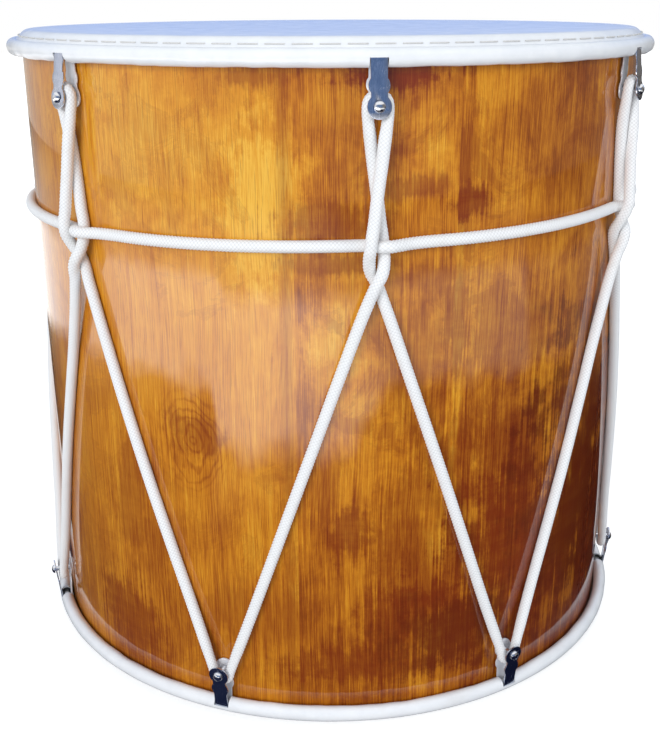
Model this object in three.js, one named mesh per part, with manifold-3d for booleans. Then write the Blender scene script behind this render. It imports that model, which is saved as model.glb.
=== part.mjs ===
// Double-headed rope-laced drum, standing on its lower head.
// Millimetres, +Z up along the drum's axis, z = 0 on the face of the lower head.
// An azimuth of 0 points to -Y, the side seen first, and grows towards +X.
import * as THREE from "three";
import { mergeVertices } from "three/addons/utils/BufferGeometryUtils.js";
import Module from "manifold-3d";

// Shell and its stiffening hoops
const SHELL_RADIUS = 165;
const DRUM_HEIGHT = 332;
const SHELL_WALL = 6;
const EDGE_ROUNDING = 4;
const STIFFENER_WIDTH = 22;
const STIFFENER_THICKNESS = 5;

// Heads: the skin, and the steel ring in its rolled hem
const SKIN_THICKNESS = 0.7;
const RING_ROD_DIAMETER = 4;
const RING_DROP = 8.2;

// Clips: a strap folded over the ring, with an eye for the rivet
const CLIPS_PER_HEAD = 7;
const FIRST_CLIP_AZIMUTH = THREE.MathUtils.degToRad(6.6);
const STRAP_THICKNESS = 0.7;
const STRAP_WIDTH = 7;
const LOBE_DIAMETER = 9;
const LOBE_DROP = 10.7;
const EYE_DIAMETER = 10.2;
const EYE_DROP = 19;
const RIVET_SHANK_DIAMETER = 2.6;
const RIVET_HEAD_DIAMETER = 5;
const RIVET_HEAD_HEIGHT = 1.7;

// Cords
const ROPE_DIAMETER = 5.2;
const BELT_HEIGHT = 246;
const BELT_RISE = 3;
const LOWER_CROSSING_DROP = 16;
const KNOT_TURNS = 2;

// Clearances
const SEAT_GAP = 0.3;
const STRAP_GAP = 0.25;
const HEM_GAP = 0.35;
const NOTCH_GAP = 0.4;
const REAR_LEG_GAP = 0.5;
const ROPE_PLAY = 1.1;
const LOOP_GAP = 0.5;
const RIVET_GAP = 0.1;
const COIL_GAP = 1;

// Facets
const SEGMENTS_PER_CLIP = 6;
const ROPE_SIDES = 6;
const ROD_SIDES = 6;
const HEM_SIDES = 8;
const LOBE_SIDES = 8;
const EYE_SIDES = 10;
const RIVET_SIDES = 8;

// Sizes that follow
const SEGMENTS = SEGMENTS_PER_CLIP * CLIPS_PER_HEAD;
const PITCH = (2 * Math.PI) / CLIPS_PER_HEAD;
const FACET = Math.cos(Math.PI / SEGMENTS);
const BEND_INNER = RING_ROD_DIAMETER / 2 + STRAP_GAP;
const BEND_OUTER = BEND_INNER + STRAP_THICKNESS;
const HEM_POCKET = BEND_OUTER + HEM_GAP;
const HEM_RADIUS = HEM_POCKET + SKIN_THICKNESS;
const SKIRT_INNER = SHELL_RADIUS + SEAT_GAP;
const RING_RADIUS = SKIRT_INNER + HEM_RADIUS;
const SHELL_END = SKIN_THICKNESS + SEAT_GAP;
const LEG_LENGTH = EYE_DROP + EYE_DIAMETER / 2;
const UPPER_RING_Z = DRUM_HEIGHT - RING_DROP;
const UPPER_RIVET_Z = UPPER_RING_Z - EYE_DROP;
const LOWER_RIVET_Z = RING_DROP + EYE_DROP;

const wood = new THREE.MeshStandardMaterial({ color: 0xa9611c, roughness: 0.25 });
const bareWood = new THREE.MeshStandardMaterial({ color: 0xc79a63, roughness: 0.7 });
const skin = new THREE.MeshStandardMaterial({ color: 0xeeeef0, roughness: 0.4 });
const steel = new THREE.MeshStandardMaterial({ color: 0x8d9299, roughness: 0.3, metalness: 1 });
const cord = new THREE.MeshStandardMaterial({ color: 0xe9e7e2, roughness: 0.85 });

const wasm = await Module();
wasm.setup();

// A closed geometry as a solid that can be joined and cut
function solidOf(geometry) {
  const bare = geometry.clone();
  bare.deleteAttribute("normal");
  bare.deleteAttribute("uv");
  const merged = mergeVertices(bare, 1e-4);
  const vertProperties = new Float32Array(merged.attributes.position.array);
  const triVerts = new Uint32Array(merged.index.array);
  return new wasm.Manifold(new wasm.Mesh({ numProp: 3, vertProperties, triVerts }));
}

function geometryOf(solid) {
  const mesh = solid.getMesh();
  const geometry = new THREE.BufferGeometry();
  geometry.setAttribute("position", new THREE.BufferAttribute(mesh.vertProperties, 3));
  geometry.setIndex(new THREE.BufferAttribute(mesh.triVerts, 1));
  geometry.computeVertexNormals();
  return geometry;
}

function named(name, geometry, material) {
  const mesh = new THREE.Mesh(geometry, material);
  mesh.name = name;
  return mesh;
}

// Points of an arc in a profile, both ends included
function arc(x, y, radius, fromDegrees, toDegrees, steps) {
  const points = [];
  for (let k = 0; k <= steps; k++) {
    const angle = THREE.MathUtils.degToRad(fromDegrees + ((toDegrees - fromDegrees) * k) / steps);
    points.push(new THREE.Vector2(x + radius * Math.cos(angle), y + radius * Math.sin(angle)));
  }
  return points;
}

// A profile of (radius, height) turned round the drum's axis.
// Every clip stands on the middle of a flat facet.
function revolve(profile) {
  const start = FIRST_CLIP_AZIMUTH + Math.PI / SEGMENTS;
  return new THREE.LatheGeometry(profile, SEGMENTS, start).rotateX(Math.PI / 2);
}

function closed(points) {
  return [...points, points[0].clone()];
}

// Shell: a tube whose outer ends are rounded into bearing edges
function makeShell() {
  const inner = SHELL_RADIUS - SHELL_WALL;
  const round = SHELL_RADIUS - EDGE_ROUNDING;
  const low = SHELL_END;
  const high = DRUM_HEIGHT - SHELL_END;
  const profile = [
    new THREE.Vector2(inner, low),
    ...arc(round, low + EDGE_ROUNDING, EDGE_ROUNDING, -90, 0, 3),
    ...arc(round, high - EDGE_ROUNDING, EDGE_ROUNDING, 0, 90, 3),
    new THREE.Vector2(inner, high),
  ];
  return revolve(closed(profile));
}

// Stiffening hoop glued inside one end of the shell
function makeStiffener(lowZ) {
  const outer = SHELL_RADIUS - SHELL_WALL - SEAT_GAP;
  const inner = outer - STIFFENER_THICKNESS;
  const highZ = lowZ + STIFFENER_WIDTH;
  const profile = [
    new THREE.Vector2(inner, lowZ),
    new THREE.Vector2(outer, lowZ),
    new THREE.Vector2(outer, highZ),
    new THREE.Vector2(inner, highZ),
  ];
  return revolve(closed(profile));
}

// Ring of round rod, or the pocket round it, centred below the upper face
function makeRod(radius, sides) {
  const profile = arc(RING_RADIUS, -RING_DROP, radius, 0, 360, sides);
  return revolve(profile);
}

// Head with its face at z = 0: flat skin, rounded shoulder, skirt, and the hem rolled round the ring.
// Each clip has a notch in the hem's lower half.
function makeHead(firstNotch) {
  const round = SHELL_RADIUS - EDGE_ROUNDING;
  const shoulderZ = -(SHELL_END + EDGE_ROUNDING);
  const innerRadius = EDGE_ROUNDING + SEAT_GAP;
  const outerRadius = innerRadius + SKIN_THICKNESS;
  const seam = 180 - THREE.MathUtils.radToDeg(Math.acos(HEM_POCKET / HEM_RADIUS));
  const profile = [
    new THREE.Vector2(0, -SKIN_THICKNESS),
    ...arc(round, shoulderZ, innerRadius, 90, 0, 2),
    ...arc(RING_RADIUS, -RING_DROP, HEM_RADIUS, -180, seam, HEM_SIDES),
    ...arc(round, shoulderZ, outerRadius, 0, 90, 2),
    new THREE.Vector2(0, 0),
  ];
  const notchTop = BEND_OUTER * Math.sin(frontFlare()) + NOTCH_GAP - STRAP_GAP;
  const notchHeight = HEM_RADIUS + NOTCH_GAP + notchTop;
  const notchDepth = 2 * (HEM_RADIUS + NOTCH_GAP);
  const notch = new THREE.BoxGeometry(notchDepth, STRAP_WIDTH + 2 * NOTCH_GAP, notchHeight);
  notch.translate(RING_RADIUS * FACET, 0, -RING_DROP + notchTop - notchHeight / 2);
  let head = solidOf(revolve(profile)).subtract(solidOf(makeRod(HEM_POCKET, HEM_SIDES)));
  for (let k = 0; k < CLIPS_PER_HEAD; k++) {
    const turned = notch.clone().rotateZ(firstNotch + k * PITCH - Math.PI / 2);
    head = head.subtract(solidOf(turned));
  }
  return geometryOf(head);
}

// Angle of a leg that leaves the bend as a tangent and whose face reaches x at a depth below the ring
function flareTo(x, depth, bendRadius) {
  return Math.atan2(x, depth) - Math.asin(bendRadius / Math.hypot(x, depth));
}

// The rear leg leans in until its end lies close to the shell
function rearFlare() {
  const reach = RING_RADIUS - SHELL_RADIUS - REAR_LEG_GAP;
  return flareTo(reach, LEG_LENGTH, BEND_OUTER);
}

// A leg's inner face, at a depth below the ring, for a flare
function legFace(flare, depth, bendRadius) {
  return bendRadius / Math.cos(flare) + depth * Math.tan(flare);
}

// The front leg leans out until the rope has its play between the legs at the rivet
function frontFlare() {
  const reach = ROPE_DIAMETER + 2 * ROPE_PLAY - legFace(rearFlare(), EYE_DROP, BEND_INNER);
  return flareTo(reach, EYE_DROP, BEND_INNER);
}

// Middle of the gap between the legs at the rivet, out from the ring's centre
function ropeOffset() {
  const front = legFace(frontFlare(), EYE_DROP, BEND_INNER);
  const rear = legFace(rearFlare(), EYE_DROP, BEND_INNER);
  return (front - rear) / 2;
}

// Clip in its own frame: x out from the drum, y towards the head, z along the ring, origin in the ring
function makeClip() {
  const front = frontFlare();
  const rear = Math.PI - rearFlare();
  const reach = LEG_LENGTH + 1;
  const frontEnd = (radius) => legFace(front, reach, radius);
  const rearEnd = (radius) => -legFace(rearFlare(), reach, radius);
  const side = new THREE.Shape();
  side.moveTo(frontEnd(BEND_INNER), -reach);
  side.lineTo(frontEnd(BEND_OUTER), -reach);
  side.absarc(0, 0, BEND_OUTER, front, rear, false);
  side.lineTo(rearEnd(BEND_OUTER), -reach);
  side.lineTo(rearEnd(BEND_INNER), -reach);
  side.absarc(0, 0, BEND_INNER, rear, front, true);
  const widest = Math.max(STRAP_WIDTH, LOBE_DIAMETER, EYE_DIAMETER) + 2;
  const settings = { depth: widest, bevelEnabled: false, curveSegments: 3 };
  const folded = new THREE.ExtrudeGeometry(side, settings).translate(0, 0, -widest / 2);

  const span = 4 * (BEND_OUTER + ROPE_DIAMETER);
  const across = (diameter, drop, sides) => {
    const disc = new THREE.CylinderGeometry(diameter / 2, diameter / 2, span, sides);
    return solidOf(disc.rotateZ(Math.PI / 2).translate(0, -drop, 0));
  };
  const stripLength = EYE_DROP + BEND_OUTER + 1;
  const strip = new THREE.BoxGeometry(span, stripLength, STRAP_WIDTH);
  strip.translate(0, stripLength / 2 - EYE_DROP, 0);
  const lobe = across(LOBE_DIAMETER, LOBE_DROP, LOBE_SIDES);
  const eye = across(EYE_DIAMETER, EYE_DROP, EYE_SIDES);
  const hole = across(RIVET_SHANK_DIAMETER + 2 * RIVET_GAP, EYE_DROP, RIVET_SIDES);
  const outline = solidOf(strip).add(lobe).add(eye);
  return geometryOf(solidOf(folded).intersect(outline).subtract(hole));
}

// Rivet in the clip's frame: domed head outside the front leg, shank flush with the rear leg
function makeRivet() {
  const shank = RIVET_SHANK_DIAMETER / 2;
  const head = RIVET_HEAD_DIAMETER / 2;
  const tail = -legFace(rearFlare(), EYE_DROP - shank, BEND_OUTER);
  const seat = legFace(frontFlare(), EYE_DROP + head, BEND_OUTER) + RIVET_GAP;
  const profile = [
    new THREE.Vector2(0, tail),
    new THREE.Vector2(shank, tail),
    new THREE.Vector2(shank, seat),
    new THREE.Vector2(head, seat),
    new THREE.Vector2(head, seat + 0.25 * RIVET_HEAD_HEIGHT),
    new THREE.Vector2(0.7 * head, seat + 0.8 * RIVET_HEAD_HEIGHT),
    new THREE.Vector2(0, seat + RIVET_HEAD_HEIGHT),
  ];
  return new THREE.LatheGeometry(profile, RIVET_SIDES).rotateZ(-Math.PI / 2).translate(0, -EYE_DROP, 0);
}

// A group that carries one clip and its rivet, turned to its azimuth
function clipGroup(prefix, number, azimuth, z, turn) {
  const station = new THREE.Group();
  station.rotation.z = azimuth - Math.PI / 2;
  const pair = new THREE.Group();
  pair.position.set(RING_RADIUS * FACET, 0, z);
  pair.rotation.x = turn;
  pair.add(named(`${prefix}_clip_${number}`, makeClip(), steel));
  pair.add(named(`${prefix}_rivet_${number}`, makeRivet(), steel));
  station.add(pair);
  return station;
}

// Cords

// How far a cord's middle lies from the axis when it lies on the shell, and two cords' spacing
const ROPE_SEAT = SHELL_RADIUS + SEAT_GAP + ROPE_DIAMETER / 2;
const ROPE_SPACING = ROPE_DIAMETER + SEAT_GAP;
const ROPE_AT_RIVET = RING_RADIUS * FACET + ropeOffset();
const LOOP_RADIUS = RIVET_SHANK_DIAMETER / 2 + LOOP_GAP + ROPE_DIAMETER / 2;
const COIL_RADIUS = ROPE_DIAMETER + COIL_GAP;
const KNOT_SETTLE = 0.8;
const KNOT_SEAT = SHELL_RADIUS + SEAT_GAP + COIL_RADIUS + ROPE_DIAMETER / 2;

// Lacing strands between an upper rivet and the belt, and from the belt to below the lower crossing.
// part: share of the way down; turn: how far the pair has wound; spread: half the pair's spacing and
// lift: how far its middle stands off the seat, both in cord spacings
const TWIST_ABOVE_BELT = [
  { part: 0.3, turn: 40, spread: 0.6, lift: 0.46 },
  { part: 0.59, turn: 90, spread: 0.55, lift: 0.55 },
  { part: 0.82, turn: 118, spread: 0.8, lift: 0.71 },
  { part: 1, turn: 135, spread: 1.08, lift: 0.765 },
];
const TWIST_BELOW_BELT = [
  { part: 0.5, turn: 178, spread: 0.72, lift: 0.62 },
  { part: 0.76, turn: 225, spread: 0.62, lift: 0.6 },
  { part: 1, turn: 270, spread: 0.55, lift: 0.56 },
  { part: 1.55, turn: 335, spread: 0.74, lift: 0.36 },
];

// The belt as it passes under one strand and over the other: along the shell and off its seat,
// both in cord spacings
const BELT_WEAVE = [
  { along: -2.6, off: 0 },
  { along: -1.4, off: 0.02 },
  { along: -0.62, off: 0.22 },
  { along: 0, off: 0.78 },
  { along: 0.42, off: 0.99 },
  { along: 0.9, off: 1.05 },
  { along: 1.6, off: 0.82 },
  { along: 2.7, off: 0.3 },
  { along: 4, off: 0.03 },
];

function at(azimuth, radius, z) {
  return new THREE.Vector3(radius * Math.sin(azimuth), -radius * Math.cos(azimuth), z);
}

function beltZ(azimuth) {
  return BELT_HEIGHT + BELT_RISE * Math.sin(azimuth);
}

// A cord's route with one ring of the cord at each listed point
class Route extends THREE.CatmullRomCurve3 {
  getUtoTmapping(share) {
    return share;
  }
}

// The least gap between stretches of one cord that lie at least three diameters apart along it,
// measured on points of its middle line
function leastGap(points) {
  const line = new Route(points).getPoints(8 * (points.length - 1));
  const travelled = [0];
  for (let k = 1; k < line.length; k++) {
    travelled.push(travelled[k - 1] + line[k].distanceTo(line[k - 1]));
  }
  let least = Infinity;
  for (let k = 0; k < line.length; k++) {
    for (let n = k + 1; n < line.length; n++) {
      if (travelled[n] - travelled[k] > 3 * ROPE_DIAMETER) {
        least = Math.min(least, line[k].distanceTo(line[n]) - ROPE_DIAMETER);
      }
    }
  }
  return { least, length: travelled.at(-1) };
}

function makeCord(name, points) {
  const { least, length } = leastGap(points);
  console.log(`${name}: ${length.toFixed(0)} mm long, least gap to itself ${least.toFixed(2)} mm`);
  const section = new THREE.Shape(arc(0, 0, ROPE_DIAMETER / 2, 0, 360, ROPE_SIDES).slice(0, ROPE_SIDES));
  const settings = { steps: points.length - 1, extrudePath: new Route(points) };
  return new THREE.ExtrudeGeometry(section, settings);
}

// A strand's points beside one upper clip, from the rivet down.
// side is 1 for the strand that leaves the rivet towards growing azimuth, -1 for the other.
function twistedStrand(azimuth, side) {
  const belt = beltZ(azimuth);
  const place = (row, z) => {
    const turn = THREE.MathUtils.degToRad(row.turn);
    const along = side * row.spread * ROPE_SPACING * Math.cos(turn);
    const radius = ROPE_SEAT + ROPE_SPACING * (row.lift + side * row.spread * Math.sin(turn));
    return at(azimuth + along / radius, radius, z);
  };
  const above = TWIST_ABOVE_BELT.map((row) => place(row, UPPER_RIVET_Z + row.part * (belt - UPPER_RIVET_Z)));
  const below = TWIST_BELOW_BELT.map((row) => place(row, belt - row.part * LOWER_CROSSING_DROP));
  return [...above, ...below];
}

// The bend over an upper rivet or under a lower one, from the side of smaller azimuth to the other
function rivetLoop(azimuth, z, way) {
  return arc(0, 0, LOOP_RADIUS, 180, 0, 4).map((p) =>
    at(azimuth + p.x / ROPE_AT_RIVET, ROPE_AT_RIVET, z + way * p.y),
  );
}

// Points strictly between two ends of a taut stretch that comes to lie on the shell.
// Each end settles on the shell within its share of the stretch.
function tautRun(from, to, count, fromShare = 0.3, toShare = 0.3) {
  const azimuthOf = (p) => Math.atan2(p.x, -p.y);
  const start = azimuthOf(from);
  const sweep = THREE.MathUtils.euclideanModulo(azimuthOf(to) - start + Math.PI, 2 * Math.PI) - Math.PI;
  const fade = (share, reach) => Math.max(0, 1 - share / reach) ** 2;
  const points = [];
  for (let k = 1; k <= count; k++) {
    const share = k / (count + 1);
    const offFrom = (Math.hypot(from.x, from.y) - ROPE_SEAT) * fade(share, fromShare);
    const offTo = (Math.hypot(to.x, to.y) - ROPE_SEAT) * fade(1 - share, toShare);
    points.push(at(start + sweep * share, ROPE_SEAT + offFrom + offTo, from.z + (to.z - from.z) * share));
  }
  return points;
}

// Half of the knot that ties a cord's two ends: a tail that winds round the other end's straight part,
// crosses to the middle and leaves along it.
// The other half is the same, turned half round.
function knotHalf(centre, along, outward) {
  const across = new THREE.Vector3().crossVectors(along, outward);
  const place = (u, v, w) =>
    centre.clone().addScaledVector(along, u).addScaledVector(outward, v).addScaledVector(across, w);
  const halfGap = COIL_RADIUS;
  const coilPitch = ROPE_DIAMETER + COIL_GAP;
  const steps = 8 * KNOT_TURNS;
  const points = [];
  for (let k = 0; k <= steps; k++) {
    const left = KNOT_TURNS * (1 - k / steps);
    const turn = Math.PI * (1 - 2 * left);
    const back = -halfGap - coilPitch * left;
    points.push(place(back, COIL_RADIUS * Math.cos(turn), COIL_RADIUS * Math.sin(turn)));
  }
  points.push(place(0, -0.6 * COIL_RADIUS, 0));
  for (const turns of [0, KNOT_TURNS / 2, KNOT_TURNS, KNOT_TURNS + 0.5]) {
    points.push(place(halfGap + coilPitch * turns, 0, 0));
  }
  return points;
}

// The lacing starts in its knot at the back, visits every lower and upper rivet in turn and ends there
function makeLacing() {
  const knotClip = Math.floor(CLIPS_PER_HEAD / 2);
  const upper = (k) => FIRST_CLIP_AZIMUTH + k * PITCH;
  const lowerLoop = (k) => rivetLoop(upper(k) + PITCH / 2, LOWER_RIVET_Z, -1);
  const runPoints = 3;

  const strandTop = twistedStrand(upper(knotClip), 1).at(-1);
  const strandFoot = lowerLoop(knotClip)[0];
  const knotAzimuth = upper(knotClip) + PITCH / 4;
  const knotCentre = at(knotAzimuth, KNOT_SEAT, (strandTop.z + strandFoot.z) / 2);
  const fall = strandTop.z - strandFoot.z;
  const slant = Math.atan2((ROPE_SEAT * PITCH) / 2 - LOOP_RADIUS, fall);
  const tangent = new THREE.Vector3(Math.cos(knotAzimuth), Math.sin(knotAzimuth), 0);
  const along = tangent.multiplyScalar(Math.sin(slant)).setZ(-Math.cos(slant));
  const outward = at(knotAzimuth, 1, 0);

  const points = knotHalf(knotCentre, along, outward);
  const join = (next, count, fromShare, toShare) => {
    points.push(...tautRun(points.at(-1), next[0], count, fromShare, toShare), ...next);
  };
  for (let k = knotClip + 1; k <= knotClip + CLIPS_PER_HEAD; k++) {
    join(lowerLoop(k - 1), runPoints, k === knotClip + 1 ? KNOT_SETTLE : undefined);
    join(twistedStrand(upper(k), -1).reverse(), runPoints);
    points.push(...rivetLoop(upper(k), UPPER_RIVET_Z, 1));
    points.push(...twistedStrand(upper(k), 1));
  }
  const end = knotHalf(knotCentre, along.clone().negate(), outward.clone().negate()).reverse();
  join(end, runPoints, undefined, KNOT_SETTLE);
  return makeCord("lacing", points);
}

// The belt starts in its knot at the back, weaves through every pair of strands and ends there
function makeBelt() {
  const knotAzimuth = FIRST_CLIP_AZIMUTH + (Math.floor(CLIPS_PER_HEAD / 2) + 0.5) * PITCH;
  const knotCentre = at(knotAzimuth, KNOT_SEAT, beltZ(knotAzimuth));
  const along = new THREE.Vector3(Math.cos(knotAzimuth), Math.sin(knotAzimuth), 0);
  const outward = at(knotAzimuth, 1, 0);
  const points = knotHalf(knotCentre, along, outward);
  const first = Math.floor(CLIPS_PER_HEAD / 2) + 1;
  for (let k = first; k < first + CLIPS_PER_HEAD; k++) {
    const azimuth = FIRST_CLIP_AZIMUTH + k * PITCH;
    const weave = BELT_WEAVE.map((row) => {
      const radius = ROPE_SEAT + row.off * ROPE_SPACING;
      const turned = azimuth + (row.along * ROPE_SPACING) / ROPE_SEAT;
      return at(turned, radius, beltZ(turned));
    });
    const settle = k === first ? KNOT_SETTLE : undefined;
    points.push(...tautRun(points.at(-1), weave[0], 4, settle), ...weave);
  }
  const end = knotHalf(knotCentre, along.clone().negate(), outward.clone().negate()).reverse();
  points.push(...tautRun(points.at(-1), end[0], 5, undefined, KNOT_SETTLE), ...end);
  return makeCord("belt", points);
}

const drum = new THREE.Group();
drum.add(named("shell", makeShell(), wood));
drum.add(named("lower_stiffener", makeStiffener(SHELL_END), bareWood));
drum.add(named("upper_stiffener", makeStiffener(DRUM_HEIGHT - SHELL_END - STIFFENER_WIDTH), bareWood));

const upperHead = named("upper_head", makeHead(FIRST_CLIP_AZIMUTH), skin);
const upperRing = named("upper_ring", makeRod(RING_ROD_DIAMETER / 2, ROD_SIDES), steel);
upperHead.position.z = DRUM_HEIGHT;
upperRing.position.z = DRUM_HEIGHT;
drum.add(upperHead, upperRing);

// The lower head is turned over about the line through the first upper clip, so its facets match
const turnedOver = new THREE.Quaternion().setFromAxisAngle(at(FIRST_CLIP_AZIMUTH, 1, 0), Math.PI);
const lowerHead = named("lower_head", makeHead(FIRST_CLIP_AZIMUTH + PITCH / 2), skin);
const lowerRing = named("lower_ring", makeRod(RING_ROD_DIAMETER / 2, ROD_SIDES), steel);
lowerHead.quaternion.copy(turnedOver);
lowerRing.quaternion.copy(turnedOver);
drum.add(lowerHead, lowerRing);

for (let k = 0; k < CLIPS_PER_HEAD; k++) {
  const azimuth = FIRST_CLIP_AZIMUTH + k * PITCH;
  drum.add(clipGroup("upper", k + 1, azimuth, UPPER_RING_Z, Math.PI / 2));
  drum.add(clipGroup("lower", k + 1, azimuth + PITCH / 2, RING_DROP, -Math.PI / 2));
}

drum.add(named("lacing", makeLacing(), cord));
drum.add(named("belt", makeBelt(), cord));

export default drum;
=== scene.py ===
# %% [markdown]
# # A rope-laced drum, dressed over its frame
#
# The drum is a bent veneer shell with a white head on each end. Each head is rolled round a steel ring,
# riveted clips hang on the rings, one long cord laces the clips together, and a belt of the same cord
# draws the lacing tight. The frame holds every piece as a plain solid at its true size. This lesson keeps
# the frame, and models over it the surfaces that the eye looks for: grain, hem, braid and bright steel.

# %% Load the frame
import math

import bmesh
import bpy
import numpy as np
from mathutils import Matrix, Vector


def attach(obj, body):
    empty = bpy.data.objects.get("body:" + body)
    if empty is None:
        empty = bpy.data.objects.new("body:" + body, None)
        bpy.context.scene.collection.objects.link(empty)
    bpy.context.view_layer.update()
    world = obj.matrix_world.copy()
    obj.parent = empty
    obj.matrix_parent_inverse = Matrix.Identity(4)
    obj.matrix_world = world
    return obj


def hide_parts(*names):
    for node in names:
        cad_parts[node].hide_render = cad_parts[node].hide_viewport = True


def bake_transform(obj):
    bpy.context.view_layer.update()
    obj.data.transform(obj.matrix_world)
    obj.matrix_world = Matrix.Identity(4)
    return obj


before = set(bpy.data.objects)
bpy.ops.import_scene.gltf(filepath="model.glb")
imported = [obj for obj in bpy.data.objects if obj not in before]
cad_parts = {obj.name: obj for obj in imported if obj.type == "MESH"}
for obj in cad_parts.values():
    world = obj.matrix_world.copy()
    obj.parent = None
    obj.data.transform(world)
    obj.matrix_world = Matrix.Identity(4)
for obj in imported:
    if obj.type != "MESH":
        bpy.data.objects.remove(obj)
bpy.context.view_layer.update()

# %% [markdown]
# ## Camera
#
# The picture was taken from just above the upper head, close enough for strong perspective: the sides
# run together towards the floor. The focal length in pixels was worked out from the curves of the two
# hoops. A camera could also be turned by eye, but then every later comparison would carry that error.

# %% Place the camera
PHOTO_HEIGHT = 732
FOCAL_PIXELS = 1063.5
CAMERA_PLACE = (0, -0.6144, 0.3471)
CAMERA_PITCH = 0.3343
CAMERA_ROLL = 0.004

bpy.ops.object.camera_add(location=CAMERA_PLACE, rotation=(math.pi / 2 - CAMERA_PITCH, CAMERA_ROLL, 0))
camera = bpy.context.active_object
camera.data.lens = FOCAL_PIXELS * camera.data.sensor_width / PHOTO_HEIGHT
camera.data.clip_start = 0.01
bpy.context.scene.camera = camera
print("camera lens", round(camera.data.lens, 2), "mm")

# %% [markdown]
# ## Helpers for shader nodes
#
# A material is a tree of small nodes. Adding each one by hand takes several lines, so one helper makes a
# node, sets its options, and for each input either sets the number or links the socket that it is given.
# The others name the nodes that come up most, and the last one links a finish to its surface.

# %% Node helpers
def put(tree, kind, inputs=None, **options):
    made = tree.nodes.new(kind if kind.startswith("Node") else "ShaderNode" + kind)
    for key, value in options.items():
        setattr(made, key, value)
    for key, value in (inputs or {}).items():
        if isinstance(value, bpy.types.NodeSocket):
            tree.links.new(value, made.inputs[key])
        else:
            made.inputs[key].default_value = value
    return made


def sums(tree, operation, *values):
    return put(tree, "Math", dict(enumerate(values)), operation=operation).outputs[0]


def vectors(tree, operation, *values):
    made = put(tree, "VectorMath", dict(enumerate(values)), operation=operation).outputs
    return made["Value"] if operation == "LENGTH" else made[0]


def waves(tree, value, count):
    return sums(tree, "SINE", sums(tree, "MULTIPLY", value, 2 * math.pi * count))


def mixed(tree, factor, one, other):
    return put(tree, "Mix", {0: factor, 6: one, 7: other}, data_type="RGBA").outputs[2]


def between(tree, value, low, high, to_low=0.0, to_high=1.0):
    inputs = {"Value": value, "From Min": low, "From Max": high, "To Min": to_low, "To Max": to_high}
    return put(tree, "MapRange", inputs, interpolation_type="SMOOTHSTEP").outputs[0]


def ramp(tree, factor, stops, how="LINEAR"):
    made = put(tree, "ValToRGB", {"Fac": factor})
    made.color_ramp.interpolation = how
    while len(made.color_ramp.elements) < len(stops):
        made.color_ramp.elements.new(1.0)
    for element, (place, colour) in zip(made.color_ramp.elements, stops):
        element.position = place
        element.color = (*colour, 1) if isinstance(colour, tuple) else (colour, colour, colour, 1)
    return made.outputs[0]


def noise(tree, place, scale, detail=2.0, roughness=0.5, distortion=0.0):
    each_way = scale if isinstance(scale, tuple) else (scale, scale, scale)
    inputs = {"Vector": vectors(tree, "MULTIPLY", place, each_way), "Scale": 1.0, "Detail": detail}
    inputs |= {"Roughness": roughness, "Distortion": distortion}
    return put(tree, "TexNoise", inputs).outputs[0]


def new_finish(name):
    finish = bpy.data.materials.new(name)
    finish.use_nodes = True
    tree = finish.node_tree
    surface = tree.nodes["Principled BSDF"]
    return finish, tree, surface, put(tree, "TexCoord").outputs["Object"]


def bump(tree, height, depth, strength):
    inputs = {"Height": height, "Distance": depth, "Strength": strength}
    return put(tree, "Bump", inputs).outputs[0]


def dress(tree, surface, colour, roughness, normal, plain=()):
    for label, socket in (("Base Color", colour), ("Roughness", roughness), ("Normal", normal)):
        tree.links.new(socket, surface.inputs[label])
    for label, value in plain:
        surface.inputs[label].default_value = value


print("node helpers ready")

# %% [markdown]
# ## Floor, sky and lamps
#
# The drum stands on a plain pale floor in soft light. A large lamp to the left and in front is the key,
# and a pale blue sky fills the shade, which is why the cords on the right look cool. The floor adds a
# little light of its own where the camera or a reflection looks at it, so that it reads as white paper
# and still keeps the drum's soft shadow. Gloss needs something dark to reflect, or it turns to milk, so
# two studio flags are put up that only reflections see. One is a round wall, pale on the left, dark on the
# right, blue-grey in front and blue at the back, where its top is pale and its foot has no blue. The other
# is a round card on the floor, dark by the drum and bright further out. The edge between is ragged, and at
# the front left a bright tongue reaches in.

# %% Build the stage
SKY_FILL = (0.80, 0.89, 1.0)
SKY_STRENGTH = 0.62
# Each lamp: name, place, power in watts, size in metres
LAMPS = (
    ("key", (-0.95, -1.95, 0.85), 28.5, 1.2),
    ("fill", (1.9, -1.0, 0.9), 13.0, 0.9),
    ("back", (0.5, 2.2, 0.45), 38, 1.6),
)
AIM = Vector((0, 0, 0.17))
FLOOR_RADIUS, FLOOR_SIDES, FLOOR_GREY = 7, 96, 0.6
GLOW_REACH, NEAR_GLOW, FAR_GLOW = (0.45, 2.0), 0.64, 0.95


def clear_selection():
    if bpy.context.mode != "OBJECT":
        bpy.ops.object.mode_set(mode="OBJECT")
    bpy.ops.object.select_all(action="DESELECT")


def seen_directly(tree):
    path = put(tree, "LightPath").outputs
    either = sums(tree, "MAXIMUM", path["Is Camera Ray"], path["Is Glossy Ray"])
    return sums(tree, "MAXIMUM", either, path["Is Transmission Ray"])


sky = bpy.data.worlds.new("sky")
bpy.context.scene.world = sky
sky.use_nodes = True
sky_tree = sky.node_tree
soft = put(sky_tree, "Background", {"Color": (*SKY_FILL, 1), "Strength": SKY_STRENGTH}).outputs[0]
white = put(sky_tree, "Background", {"Color": (1, 1, 1, 1), "Strength": 1.0}).outputs[0]
shown = put(sky_tree, "MixShader", {0: seen_directly(sky_tree), 1: soft, 2: white}).outputs[0]
sky_tree.links.new(shown, sky_tree.nodes["World Output"].inputs["Surface"])


def stage_finish(name):
    finish = bpy.data.materials.new(name)
    finish.use_nodes = True
    return finish, finish.node_tree, finish.node_tree.nodes["Material Output"].inputs["Surface"]


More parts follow.
